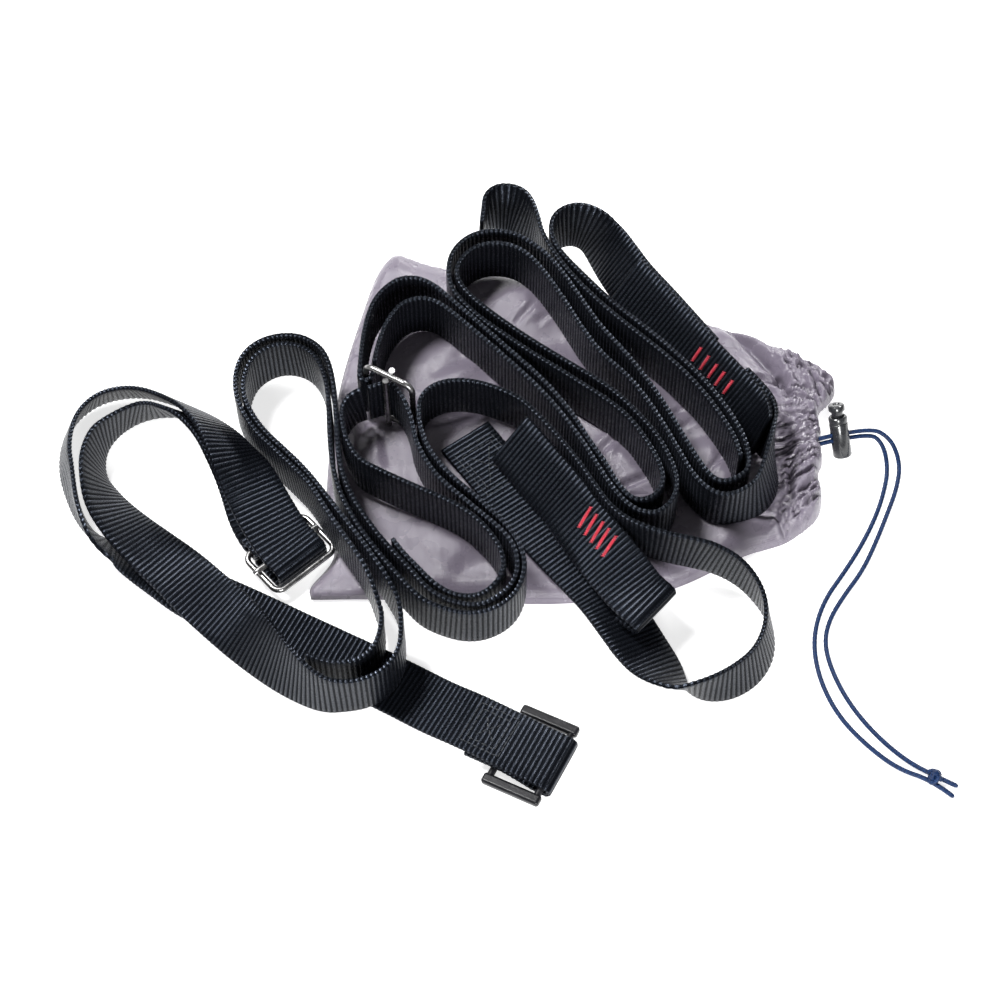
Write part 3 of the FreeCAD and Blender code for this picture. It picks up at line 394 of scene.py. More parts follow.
MIDDLE_BAND_ROUTE = route(
    (-28, -21.5, 23.5, 40), (-21.5, -30), (-14, -41, 24, 41), (-6, -51.5), (0, -62, 24, 39),
    (6.5, -71.5, 24, 34), (13, -80.5, 23.8, 22), (19, -89, 23.2, 8),
)
REAR_BAND_ROUTE = route(
    (22.5, 60, 22, 46), (31, 48.7, 22, 47), (43.3, 31.3, 21.6), (55.4, 14.9, 21.6, 48),
    (64.4, 3.4, 21.2, 47), (71.5, -5.8, 20.6, 48), (76.5, -14.5, 20.9, 63), (78, -19.2, 21.3, 76),
)
LEFT_FOLD = route(
    (9, 1.3), (4, 1.3), (-3, 1.3), (-8.3, 1.4), (-8.3, 11.7), (-3, 11.8), (5, 11.8),
)
MAIN_END_FOLD = route(
    (17, 9.1), (12.5, 9.1), (8, 9.1), (8, 3.8), (12.5, 3.8), (17.5, 4),
)
FRONT_FOLD = route(
    (-18, 7.5), (-8, 7.5), (3.6, 7.5), (3.6, 1.5), (-3, 1.4), (-8.5, 3), (-15, 4.8), (-21, 5),
    (-27, 4.4), (-34, 3.6),
)
MIDDLE_BAND_FOLD = route(
    (6, 23), (15, 22.8), (15, 17.4), (4, 17.8),
)
UPPER_STRAND = route(
    (100.5, -16.3, 12.9), (124.5, -9.25), (134.5, -12.5, 8.5), (138.5, -21.5, 2.8), (136.5, -32.5, 1.1),
    (131, -46), (125, -60), (118.5, -73), (110, -84.5), (103, -96), (100.5, -107), (103, -120),
    (109, -134), (118, -147), (129.5, -158.5), (141, -165.5, 1.6), (149, -169.5, 1.3),
)
LOWER_STRAND = route(
    (100.5, -17.85, 11.1), (124.5, -10.8), (131.5, -14, 6.3), (133.3, -24, 1.4), (130.5, -35.5, 1.1),
    (126, -47.5), (119, -61), (111, -73.5), (102.5, -85.5), (97.5, -98), (96, -110.5), (98, -124.5),
    (104, -139), (114, -151.5), (126, -162), (139, -167, 1.6), (147, -174, 1.3),
)

LEFT_BUCKLE_CENTRE, LEFT_BUCKLE_HEADING = (-0.119, -0.0672), 132.0
FRONT_BAR_CENTRE, FRONT_HEADING = (-0.0106, -0.1616), -27.8
MIDDLE_BAND_END, MIDDLE_BAND_HEADING = (0.0194, -0.0915), -42.0
KNOT_AT = Vector((0.1398, -0.166, 0.0029))

# ---------------- lines and meshes
LINE_STEPS = 14


def smooth_line(points, closed=False):
    """Vertices along the smooth line through given control points."""
    curve = bpy.data.curves.new("line", "CURVE")
    curve.dimensions = "3D"
    spline = curve.splines.new("NURBS")
    spline.points.add(len(points) - 1)
    for control, place in zip(spline.points, points):
        control.co = (*place, 1.0)
    spline.order_u = 3
    spline.use_endpoint_u = not closed
    spline.use_cyclic_u = closed
    spline.resolution_u = LINE_STEPS
    holder = bpy.data.objects.new("line", curve)
    mesh = bpy.data.meshes.new_from_object(holder)
    places = np.array([vertex.co for vertex in mesh.vertices])
    bpy.data.objects.remove(holder)
    bpy.data.curves.remove(curve)
    bpy.data.meshes.remove(mesh)
    return places


def unit(vectors):
    return vectors / np.linalg.norm(vectors, axis=-1, keepdims=True)


def distances(line):
    """Distance along a line to each of its points."""
    steps = np.linalg.norm(np.diff(line, axis=0), axis=1)
    return np.concatenate(([0.0], np.cumsum(steps)))


def resample(line, along, stations):
    return np.stack([np.interp(stations, along, line[:, k]) for k in range(3)], axis=1)


def make_mesh(name, points, faces, look, uvs=None):
    mesh = bpy.data.meshes.new(name)
    mesh.from_pydata([tuple(p) for p in points], [], faces)
    if uvs is not None:
        layer = mesh.uv_layers.new(name="UVMap")
        corners = np.empty(len(mesh.loops), dtype=np.int32)
        mesh.loops.foreach_get("vertex_index", corners)
        layer.data.foreach_set("uv", np.asarray(uvs, dtype=np.float32)[corners].ravel())
    mesh.polygons.foreach_set("use_smooth", [True] * len(mesh.polygons))
    mesh.materials.append(look)
    mesh.update()
    obj = bpy.data.objects.new(name, mesh)
    bpy.context.collection.objects.link(obj)
    return obj


def ring_faces(rings, count):
    """Quads joining rings of equal count, with flat caps at both ends."""
    faces = []
    for i in range(rings - 1):
        low, high = i * count, (i + 1) * count
        for j in range(count):
            k = (j + 1) % count
            faces.append((low + j, low + k, high + k, high + j))
    faces.append(tuple(reversed(range(count))))
    faces.append(tuple(range((rings - 1) * count, rings * count)))
    return faces


# ---------------- webbing
HALF_WIDTH, HALF_THICK = 12.5 * MM, 1.1 * MM
RIB_GROOVE, BEAD_GROOVE, EDGE_FUZZ = 0.42 * MM, 0.2 * MM, 0.07 * MM
RIB_SHAPE = (1.0, 0.24, 0.0, 0.24)          # groove depth at four stations of each rib
# The section, anticlockwise: (across, through) as shares of the half width and half thickness.
FACE = ((0.945, 0.96), (0.66, 1.0), (0.22, 1.0), (-0.22, 1.0), (-0.66, 1.0), (-0.945, 0.96))
EDGE = ((-0.992, 0.62), (-0.945, 0.0), (-0.992, -0.62))
SECTION = FACE + EDGE + tuple((-w, -t) for w, t in FACE) + tuple((-w, -t) for w, t in EDGE)
IS_EDGE = np.array(([False] * len(FACE) + [True] * len(EDGE)) * 2)


def heading(angle):
    return Vector((math.cos(math.radians(angle)), math.sin(math.radians(angle)), 0))


def left_of(direction):
    return Vector((-direction.y, direction.x, 0))


def lean_controls(route):
    """Control points of a strap that runs along the ground, each with its width direction."""
    controls = []
    for i, (x, y, z, lean) in enumerate(route):
        before, after = route[max(0, i - 1)], route[min(len(route) - 1, i + 1)]
        travel = Vector((after[0] - before[0], after[1] - before[1], 0)).normalized()
        angle = math.radians(lean)
        across = left_of(travel) * math.cos(angle) + Vector((0, 0, math.sin(angle)))
        controls.append((Vector((x, y, z)), across))
    return controls


def fold_controls(centre, angle, profile, across):
    """Control points of a strap folded over in the vertical plane along a heading."""
    base = Vector((*centre, 0))
    return [(base + heading(angle) * reach + Vector((0, 0, z)), across) for reach, z in profile]


class Strap:
    """A ribbed webbing strap along its controls, kept for the stitching sewn on it."""

    def __init__(self, name, controls, look):
        middle = smooth_line([point for point, _ in controls])
        edge = smooth_line([point + across * HALF_WIDTH for point, across in controls])
        along = distances(middle)
        self.length = along[-1]
        count = int(self.length / RIB_PITCH) * len(RIB_SHAPE) + 1
        self.stations = np.linspace(0, self.length, count)
        self.line = resample(middle, along, self.stations)
        self.travel = unit(np.gradient(self.line, axis=0))
        wide = resample(edge - middle, along, self.stations)
        wide -= self.travel * np.sum(wide * self.travel, axis=1, keepdims=True)
        self.wide = unit(wide)
        self.thick = np.cross(self.travel, self.wide)
        self.obj = self.build(name, look)
        self.path = [tuple(p) for p in middle]

    def build(self, name, look):
        section = np.array(SECTION)
        count, ring = len(self.stations), len(section)
        groove = np.resize(RIB_SHAPE, count)[:, None]
        fuzz = np.array([[noise.noise(Vector((i * 0.83, j * 5.1, self.length * 900)))
                          for j in range(ring)] for i in range(count)])
        across = section[None, :, 0] * HALF_WIDTH
        through = section[None, :, 1] * HALF_THICK
        across = across * np.where(IS_EDGE, 1 - groove * BEAD_GROOVE / HALF_WIDTH, 1.0)
        across = across + np.where(IS_EDGE, fuzz * EDGE_FUZZ, 0.0) * np.sign(across)
        through = through - np.sign(through) * np.where(IS_EDGE, 0.0, groove * RIB_GROOVE)
        points = (self.line[:, None, :] + self.wide[:, None, :] * across[:, :, None]
                  + self.thick[:, None, :] * through[:, :, None]).reshape(-1, 3)
        around = section[:, 0] * HALF_WIDTH + section[:, 1] * HALF_THICK
        ribs = np.arange(count) / len(RIB_SHAPE) * RIB_PITCH
        uvs = np.stack([np.repeat(ribs, ring), np.tile(around, count)], axis=1) / MM
        return make_mesh(name, points, ring_faces(count, ring), look, uvs)

    def place(self, distance, offset):
        """Axes on the upper face: along the strap, across it and out of it."""
        i = min(int(round(distance / self.length * (len(self.stations) - 1))), len(self.stations) - 1)
        travel, wide, out = (Vector(v[i]) for v in (self.travel, self.wide, self.thick))
        if out.z < 0:
            wide, out = -wide, -out
        spot = Vector(self.line[i]) + wide * offset + out * HALF_THICK
        axes = Matrix((travel, wide, out)).transposed().to_4x4()
        return Matrix.Translation(spot) @ axes


def make_straps():
    look = webbing_weave()
    left_across = left_of(heading(LEFT_BUCKLE_HEADING))
    front_across = -left_of(heading(FRONT_HEADING))
    band_across = left_of(heading(MIDDLE_BAND_HEADING))
    left_fold = fold_controls(LEFT_BUCKLE_CENTRE, LEFT_BUCKLE_HEADING, LEFT_FOLD, left_across)
    main_fold = fold_controls(LEFT_BUCKLE_CENTRE, LEFT_BUCKLE_HEADING, MAIN_END_FOLD, -left_across)
    front_fold = fold_controls(FRONT_BAR_CENTRE, FRONT_HEADING, FRONT_FOLD, front_across)
    band_fold = fold_controls(MIDDLE_BAND_END, MIDDLE_BAND_HEADING, MIDDLE_BAND_FOLD, band_across)
    routes = {
        "front_strap": left_fold + lean_controls(FRONT_LOOP) + front_fold,
        "main_strap": main_fold + lean_controls(MAIN_ROUTE),
        "tail_strap": lean_controls(TAIL_ROUTE),
        "tail_end_strap": lean_controls(TAIL_END_ROUTE),
        "rear_strap_outer": lean_controls(REAR_OUTER_ROUTE),
        "rear_strap_inner": lean_controls(REAR_INNER_ROUTE),
        "rear_strap_end": lean_controls(REAR_END_ROUTE),
        "middle_band": lean_controls(MIDDLE_BAND_ROUTE) + band_fold,
        "rear_band": lean_controls(REAR_BAND_ROUTE),
    }
    straps = {}
    for node, controls in routes.items():
        strap = Strap("webbing_" + node, controls, look)
        straps[node] = strap
        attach(strap.obj, "strap_set")
        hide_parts(node)
    return straps


# ---------------- stitching
def tube_points(line, radius, sides, side_shape):
    """Rings round a line; side_shape scales each ring's radius at its station and angle."""
    travel = unit(np.gradient(line, axis=0))
    up = np.tile(np.array([0.0, 0.0, 1.0]), (len(line), 1))
    steep = np.abs(travel[:, 2]) > 0.9
    up[steep] = (1.0, 0.0, 0.0)
    side = unit(np.cross(travel, up))
    top = np.cross(side, travel)
    turn = np.arange(sides) / sides * 2 * math.pi
    rings = (line[:, None, :] + (side[:, None, :] * np.cos(turn)[None, :, None]
             + top[:, None, :] * np.sin(turn)[None, :, None]) * (radius * side_shape)[:, :, None])
    return rings.reshape(-1, 3)


STITCH_RINGS, STITCH_SIDES, STITCH_TAPER = 7, 8, 0.86


def thread_stitch(long, wide, tall):
    """One stitch lying along X: a low rounded bar that dives into the cloth at both ends."""
    points = []
    for i in range(STITCH_RINGS):
        t = i / (STITCH_RINGS - 1) * 2 - 1
        swell = math.sqrt(1 - t * t * STITCH_TAPER)
        for j in range(STITCH_SIDES):
            a = j / STITCH_SIDES * 2 * math.pi
            points.append(Vector((t * long / 2, math.cos(a) * wide / 2 * swell,
                                  (math.sin(a) * 0.6 + 0.25) * tall * swell - (1 - swell) * tall * 0.6)))
    return points, ring_faces(STITCH_RINGS, STITCH_SIDES)


def stitches(name, placed, look, node=None, body="strap_set"):
    """All stitches of one seam as a single piece. placed is (matrix, long, wide, tall)."""
    points, faces = [], []
    for matrix, long, wide, tall in placed:
        start = len(points)
        some, quads = thread_stitch(long, wide, tall)
        points += [matrix @ p for p in some]
        faces += [tuple(start + i for i in quad) for quad in quads]
    obj = make_mesh(name, points, faces, look)
    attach(obj, body)
    if node:
        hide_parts(node)


TACK_WIDE, TACK_THREAD, NEEDLE_SWING = 1.55 * MM, 0.42 * MM, (118, 62)
SEAM_LONG, SEAM_WIDE, SEAM_TALL, SEAM_GAP = 2.2 * MM, 0.5 * MM, 0.4 * MM, 0.35 * MM
SEAM_ROWS, SEAM_ROW_GAP = 2, 2.2 * MM
# Bar tacks: (strap, middle along it, aside, pitch, length, turn, piece, node).
TACK_ROWS = (
    ("middle_band", 58.9 * MM, 3.7 * MM, 4.1 * MM, 10.0 * MM, 105,
     "middle_band_tacks", "middle_bar_tacks"),
    ("rear_band", 59.9 * MM, 1.8 * MM, 5.1 * MM, 7.3 * MM, 94, "rear_band_tacks", "rear_bar_tacks"),
)
# Sewn boxes: (strap, distance of the middle from its end, length, width, piece, node).
SEWN_BOXES = (
    ("main_strap", 18 * MM, 24 * MM, 19 * MM, "main_end_box", "main_end_stitching"),
    ("front_strap", 74 * MM, 17 * MM, 18 * MM, "front_end_box", None),
)


def tack_row(strap, middle, offset, pitch, long, turn):
    """Five bar tacks: each is a core under close thread wraps, slanted as the needle swings."""
    placed = []
    wraps = int(long / TACK_THREAD)
    for i in range(-2, 3):
        spot = strap.place(middle + i * pitch, offset) @ Matrix.Rotation(math.radians(turn), 4, "Z")
        placed.append((spot, long * 0.98, TACK_WIDE * 0.8, TACK_THREAD))
        for k in range(wraps):
            along = (k + 0.5) / wraps * long - long / 2
            drift = noise.noise(Vector((i * 3.1, k * 0.7, middle * 100))) * 0.16 * MM
            slant = Matrix.Rotation(math.radians(NEEDLE_SWING[k % 2]), 4, "Z")
            placed.append((spot @ Matrix.Translation((along, drift, 0.1 * MM)) @ slant,
                           TACK_WIDE * 1.12, TACK_THREAD, SEAM_TALL))
    return placed


def stitch_line(strap, start, end):
    """Stitches in a straight seam between two (distance, offset) points of a strap."""
    run = Vector((end[0] - start[0], end[1] - start[1]))
    count = max(1, int(run.length / (SEAM_LONG + SEAM_GAP)))
    angle = Matrix.Rotation(math.atan2(run.y, run.x), 4, "Z")
    placed = []
    for i in range(count):
        share = (i + 0.5) / count
        wander = noise.noise(Vector((start[0] * 500, start[1] * 900, i * 1.3))) * 0.15 * MM
        spot = strap.place(start[0] + run.x * share, start[1] + run.y * share + wander)
        placed.append((spot @ angle, SEAM_LONG, SEAM_WIDE, SEAM_TALL))
    return placed


def stitch_box(strap, centre, long, wide):
    """A sewn rectangle, doubled inside, with a cross in it."""
    placed = []
    for row in range(SEAM_ROWS):
        a, b = long / 2 - row * SEAM_ROW_GAP, wide / 2 - row * SEAM_ROW_GAP
        corners = [(centre - a, -b), (centre + a, -b), (centre + a, b), (centre - a, b)]
        for p, q in zip(corners, corners[1:] + corners[:1]):
            placed += stitch_line(strap, p, q)
    a, b = long / 2 - SEAM_ROWS * SEAM_ROW_GAP, wide / 2 - SEAM_ROWS * SEAM_ROW_GAP
    placed += stitch_line(strap, (centre - a, -b), (centre + a, b))
    placed += stitch_line(strap, (centre - a, b), (centre + a, -b))
    return placed


def make_stitching(straps):
    red = sewing_thread("red_thread", (0.42, 0.012, 0.03), (0.72, 0.045, 0.08))
    black = sewing_thread("black_thread", (0.008, 0.01, 0.014), (0.03, 0.036, 0.046))
    for strap, middle, offset, pitch, long, turn, piece, node in TACK_ROWS:
        tacks = tack_row(straps[strap], middle, offset, pitch, long, turn)
        stitches(piece, tacks, red, node)
    for strap, from_end, long, wide, piece, node in SEWN_BOXES:
        sewn = straps[strap]
        box = stitch_box(sewn, sewn.length - from_end, long, wide)
        stitches(piece, box, black, node)


# ---------------- drawcord, knot and lock
CORD_RADIUS = 1.0 * MM
CORD_SIDES, BRAID_STEP, BRAID_LAY = 16, 0.3 * MM, 4.4 * MM


def braided_cord(name, line, look, radius=CORD_RADIUS):
    """A tube whose surface carries the crossing strands of a round braid."""
    along = distances(line)
    stations = np.linspace(0, along[-1], int(along[-1] / BRAID_STEP) + 1)
    places = resample(line, along, stations)
    turn = np.arange(CORD_SIDES) / CORD_SIDES * 2 * math.pi
    lay = stations[:, None] / BRAID_LAY * 2 * math.pi
    strands = np.maximum(np.cos(4 * turn[None, :] + 2 * lay), np.cos(4 * turn[None, :] - 2 * lay))
    ends = np.minimum(stations, stations[-1] - stations)[:, None]
    shape = (0.92 + 0.07 * strands) * np.clip(0.55 + ends / radius * 0.5, 0, 1)
    points = tube_points(places, radius, CORD_SIDES, shape)
    uvs = np.stack([np.repeat(stations / MM, CORD_SIDES), np.tile(turn, len(stations))], axis=1)
    return make_mesh(name, points, ring_faces(len(stations), CORD_SIDES), look, uvs)


# An overhand knot round the two strands, as offsets from its middle.
KNOT_TURNS = [
    (-2.6, 1.9, -0.9), (-1.4, 2.3, 0.6), (0.2, 1.5, 1.9), (1.2, 0.0, 1.6), (0.8, -1.7, 0.6),
    (-0.6, -2.4, -0.7), (-1.8, -1.5, -1.6), (-1.7, 0.2, -1.2), (-0.5, 1.9, -0.4), (1.0, 2.2, 0.2),
    (2.0, 1.0, 0.6), (1.5, -0.6, -0.6), (0.2, -1.3, -1.7), (-1.3, -0.3, 1.1), (-0.5, 0.7, 2.2),
    (0.9, 0.4, 1.4), (2.2, -0.8, 0.2), (2.7, -1.5, -0.8),
]


def make_drawcord():
    look = cord_braid()
    for node, route in (("drawcord_upper", UPPER_STRAND), ("drawcord_lower", LOWER_STRAND)):
        line = smooth_line(route)
        cord = braided_cord("braid_" + node, line, look)
        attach(cord, "strap_set")
        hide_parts(node)
    turns = smooth_line([KNOT_AT + Vector(p) * MM for p in KNOT_TURNS])
    knot = braided_cord("cord_knot", turns, look, radius=1.05 * MM)
    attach(knot, "strap_set")
    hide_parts("drawcord_knot")


LOCK_MIDDLE = Vector((0.1123, -0.0136, 0.012))
LOCK_AXIS = Vector((0.172, -0.586, -0.792))
LOCK_SLIDE = Vector((0.959, 0.282, 0.0))
BARREL_LONG, BARREL_RADIUS, BORE_RADIUS, BARREL_FLOOR = 18.5 * MM, 4.0 * MM, 2.6 * MM, 2.0 * MM
PLUNGER_LONG, PLUNGER_RADIUS, BUTTON_RADIUS, BUTTON_TALL = 14.7 * MM, 2.5 * MM, 3.5 * MM, 2.8 * MM
PRESS_TRAVEL, PRESS_GAP, CHANNEL_WIDE, CHANNEL_TALL = 2.0 * MM, 2.6 * MM, 2.7 * MM, 5.4 * MM
LATHE_SIDES = 48


def lathe(name, profile, look):
    """A turned solid about Z from (radius, height) points, with closed ends on the axis."""
    points = []
    for radius, height in profile:
        for j in range(LATHE_SIDES):
            a = j / LATHE_SIDES * 2 * math.pi
            points.append((radius * math.cos(a), radius * math.sin(a), height))
    return make_mesh(name, points, ring_faces(len(profile), LATHE_SIDES), look)


def cut(obj, size, centre):
    """Takes a box out of the object."""
    bpy.ops.mesh.primitive_cube_add(size=1, location=centre)
    tool = bpy.context.object
    tool.scale = size
    modifier = obj.modifiers.new("cut", "BOOLEAN")
    modifier.operation, modifier.solver, modifier.object = "DIFFERENCE", "EXACT", tool
    apply_modifiers(obj)
    bpy.data.objects.remove(tool)


def apply_modifiers(obj):
    evaluated = obj.evaluated_get(bpy.context.evaluated_depsgraph_get())
    mesh = bpy.data.meshes.new_from_object(evaluated)
    obj.modifiers.clear()
    obj.data = mesh


def seat_lock(obj, body, node):
    """Puts a piece made about the lock's own axis in its place, and lets its edges stay crisp."""
    side = LOCK_AXIS.cross(LOCK_SLIDE).normalized()
    turn = Matrix((LOCK_SLIDE.normalized(), side, LOCK_AXIS.normalized())).transposed().to_4x4()
    obj.data.transform(Matrix.Translation(LOCK_MIDDLE) @ turn)
    edges = obj.modifiers.new("edges", "BEVEL")
    edges.width, edges.segments, edges.limit_method = 0.18 * MM, 2, "ANGLE"
    apply_modifiers(obj)
    obj.data.polygons.foreach_set("use_smooth", [True] * len(obj.data.polygons))
    obj.data.set_sharp_from_angle(angle=math.radians(40))
    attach(obj, body)
    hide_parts(node)


def make_lock():
    look = lock_plastic()
    top, bottom = -BARREL_LONG / 2, BARREL_LONG / 2
    r, b = BARREL_RADIUS, BORE_RADIUS
    barrel = lathe("lock_barrel_shell", [
        (b, bottom - BARREL_FLOOR), (b, top + 0.4 * MM), (b + 0.4 * MM, top), (r - 0.5 * MM, top),
        (r, top + 0.5 * MM), (r, top + 2.2 * MM), (r - 0.3 * MM, top + 2.5 * MM),
        (r - 0.3 * MM, top + 2.9 * MM), (r, top + 3.2 * MM), (r, bottom - 0.9 * MM),
        (r - 0.3 * MM, bottom - 0.3 * MM), (r - 1.0 * MM, bottom), (0.3 * MM, bottom)], look)
    cut(barrel, (4 * r, CHANNEL_WIDE, CHANNEL_TALL), (0, 0, 0))
    seat_lock(barrel, "lock_barrel", "cord_lock_barrel")
    tip = top - PRESS_GAP + PLUNGER_LONG
    cap, p = top - PRESS_GAP, PLUNGER_RADIUS
    plunger = lathe("lock_plunger_button", [
        (0.3 * MM, tip), (p - 0.3 * MM, tip), (p, tip - 0.3 * MM), (p, cap),
        (BUTTON_RADIUS - 0.3 * MM, cap), (BUTTON_RADIUS, cap - 0.3 * MM),
        (BUTTON_RADIUS, cap - BUTTON_TALL + 0.8 * MM),
        (BUTTON_RADIUS - 0.25 * MM, cap - BUTTON_TALL + 0.25 * MM),
        (BUTTON_RADIUS - 0.8 * MM, cap - BUTTON_TALL), (1.6 * MM, cap - BUTTON_TALL),
        (1.2 * MM, cap - BUTTON_TALL + 0.5 * MM), (0.3 * MM, cap - BUTTON_TALL + 0.5 * MM)], look)
    cut(plunger, (4 * p, CHANNEL_WIDE, CHANNEL_TALL + PRESS_TRAVEL), (0, 0, -PRESS_TRAVEL / 2))
    seat_lock(plunger, "lock_plunger", "cord_lock_plunger")


# ---------------- stuff sack
# Plan outline of the lying sack, clockwise from the lower left corner: up the closed end, along
# the back to the gathered mouth and back along the front.
SACK_OUTLINE = route(
    (-111, -84), (-110.5, -80), (-105, -73.5), (-101.5, -68), (-101, -62), (-103, -56), (-104.5, -50),
    (-105.5, -42), (-105.5, -28), (-105, -15), (-103, 5), (-101, 22), (-97, 40), (-93, 56), (-88.5, 74),
    (-83.5, 85.5), (-77, 88.5), (-68, 83.5), (-56, 80), (-41, 78), (-25, 75), (-2, 69), (22, 62),
    (48, 54), (69, 47), (83, 39), (95, 31), (106, 24.5), (113.5, 17), (112, 9), (105, 3), (104, -4),
    (105.5, -10), (103.5, -16), (105.5, -23), (102, -29), (103.5, -36), (103.5, -42), (101.5, -50),
    (94, -56), (87, -60.5), (68, -66), (51, -76.5), (36, -83), (16, -86.5), (-3, -88), (-16, -88.5),
    (-45, -87.5), (-72, -86.5), (-92, -86), (-108.5, -86.5), (-111.5, -86),
)
CLOTH_CELL, GATHER_CELL = 1.7 * MM, 0.75 * MM
GATHER_FROM = 0.068                       # the gathers begin here, towards the mouth
RIM_TALL, RIM_ROUND = 1.2 * MM, 13 * MM
FLAT_LOW, FLAT_RISE = 4.7 * MM, 3.5 * MM   # the top is lower towards the closed end
MOUTH_START, MOUTH_FULL, MOUTH_TALL = 0.086, 0.099, 16.5 * MM
MOUTH_LOW, MOUTH_MIDDLE, MOUTH_WIDE = 0.3, -0.016, 0.022
GATHER_CENTRE = (0.13, -0.013)
FOLD_WIDE, FOLD_FINE, CRUSH, CRUSH_FINE = 1.6 * MM, 3.0 * MM, 3.0 * MM, 1.5 * MM
STRAP_CLEARANCE, PRESS_SLOPE, PRESS_ROUNDS = 0.35 * MM, 0.4, 14
OUTLINE_STEP, CLOTH_THIN = 0.25 * MM, 0.6 * MM
ROW_STEP = 0.866                          # rows of equal-sided triangles, as a share of the cell
CASING_PITCH, CASING_STITCH = 2.3 * MM, (1.8 * MM, 0.35 * MM, 0.3 * MM)
# The cloth is lowered along the slide of the middle buckle's bar too, though not clear of its foot.
MIDDLE_BAR_TRAVEL = (Vector((0.0011, -0.0006, 0)), Vector((0.0022, -0.0012, 0)))
# Soft rises between the straps, in millimetres: (x, y, radius, height).
PUFFS = [metres(*row) for row in (
    (-52, 13, 16, 4.5), (-20, 56, 14, 4), (-84, 78, 12, 3), (22, -22, 13, 4), (60, -22, 11, 4),
    (-86, -20, 11, 3), (-58, -66, 14, 3), (82, 26, 20, 6), (68, -57, 16, 3.5), (20, -77, 14, 3),
    (-8, 22, 10, 3), (30, 10, 10, 3), (92, -48, 12, 5), (-66, -8, 8, 3),
)]
# Folds pressed into the cloth, in millimetres: x and y of both ends, half width, depth.
CREASES = [metres(*row) for row in (
    (-25, 46, -14, 59, 1.2, 1.6), (-16, 46, -9, 52, 1, 1), (-40, 61, -31, 69, 3, 1),
    (-34, 10, -24, 18, 1.2, 1.6), (-62, 18, -46, 29, 4, 1.2), (-70, 8, -40, 12, 5, 1),
    (0, 0, 8, 4, 1, 1.4), (10, -20, 20, -10, 1.4, 2), (13, -24, 23, -13, 1, -1),
    (17, -38, 32, -31, 1.3, 1.8), (18, -41, 37, -41.5, 0.9, 1.6), (26, -28, 34, -20, 3, 1.2),
    (-62, -7, -44, -1, 1.2, 1.5), (-91, -3, -90, -16, 1.6, 1.8), (-86, -8, -88, -22, 1.4, 1.4),
    (-82, -10, -78, -26, 3, 1.2), (-95, 33, -87, 43, 3, 1.2), (-93, 45, -85, 55, 2, 1),
    (-100, 10, -92, 16, 3, 1), (54, -32, 65, -18, 0.9, 2), (60, -36, 69, -26, 3, -1),
    (39, -3, 46, 2, 1, 1.4), (43, -9, 51, -3, 1, 1.2), (68, 45, 78, 34, 1.6, 3),
    (69, 43.7, 92, 10.5, 2.2, 5.2), (88, 18, 93, 8, 1.2, 3), (72, 33, 83, 19, 5, 1.4),
    (76, 16, 92, 10, 1.1, 1.8), (66, 20, 88, 6, 1.2, 1.4), (97, 13, 106, 0, 1.2, 3),
    (102, 18, 106.5, 3, 1.1, 2.6), (90.5, -27, 89.5, -42, 1, 2.6), (70, -50, 83, -52, 1, 1.6),
    (83, -52, 87.5, -59.5, 0.9, 2), (-50, -75, -30, -70, 4, 1), (-76, -60, -62, -78, 3, 1),
    (45, -70, 60, -58, 4, 1), (-4, -80, 14, -70, 3, 1.2),
)]
CASING_SEAM = route(
    (84.5, -43.5), (86.5, -51), (88.5, -60.5),
)


def flat_height(x, y):
    """Height of the sack's top where nothing puffs or folds it: a hump at the tied mouth."""
    flat = FLAT_LOW + FLAT_RISE * np.clip((x + 0.098) / 0.03, 0, 1)
    bulge = np.clip((x - MOUTH_START) / (MOUTH_FULL - MOUTH_START), 0, 1)
    hump = MOUTH_LOW + (1 - MOUTH_LOW) * np.exp(-((y - MOUTH_MIDDLE) / MOUTH_WIDE) ** 2)
    return flat + (MOUTH_TALL - flat) * hump * bulge * bulge * (3 - 2 * bulge)


def crease_depth(x, y, start, end, wide, deep):
    """A narrow valley with a low ridge along each side, fading at its ends."""
    run = np.array(end) - np.array(start)
    long = np.linalg.norm(run)
    along = ((x - start[0]) * run[0] + (y - start[1]) * run[1]) / long ** 2
    aside = np.abs((x - start[0]) * run[1] - (y - start[1]) * run[0]) / long / wide
    fade = np.clip(np.minimum(along, 1 - along) * 4 + 0.5, 0, 1)
    return deep * fade * (np.exp(-aside ** 2) - 0.35 * np.exp(-((aside - 2.2) / 1.1) ** 2))


def gathers(x, y):
    """Folds that fan out from the tied mouth, tight at the cord and fading over the sack."""
    dx, dy = x - GATHER_CENTRE[0], y - GATHER_CENTRE[1]
    reach, angle = np.hypot(dx, dy), np.arctan2(dy, -dx)
    height = np.zeros(len(x))
    near = np.clip((0.060 - reach) / 0.026, 0, 1)
    far = np.clip((0.110 - reach) / 0.060, 0, 1)
    tight = np.clip((x - 0.080) / 0.012, 0, 1)
    for i in range(len(x)):
        if near[i] <= 0 and far[i] <= 0:
            continue
        a, r = angle[i], reach[i]
        wide = noise.noise(Vector((a * 6.5, r * 9, 1.7)))
        fine = noise.noise(Vector((a * 15 + wide * 1.4, r * 34, 4.2)))
        crush = noise.noise(Vector((a * 22 + r * 60 + wide, r * 150 - a * 9, 8.0)))
        mesh = noise.noise(Vector((a * 40 - r * 120 + fine, r * 250 + a * 12, 2.0)))
        height[i] = (far[i] * (0.5 - abs(wide) * 2.4) * FOLD_WIDE
                     + near[i] * (0.5 - abs(fine) * 2.8) * FOLD_FINE
                     + tight[i] * ((0.4 - abs(crush) * 2.2) * CRUSH
                                   + (0.3 - abs(mesh) * 1.6) * CRUSH_FINE))
    return height


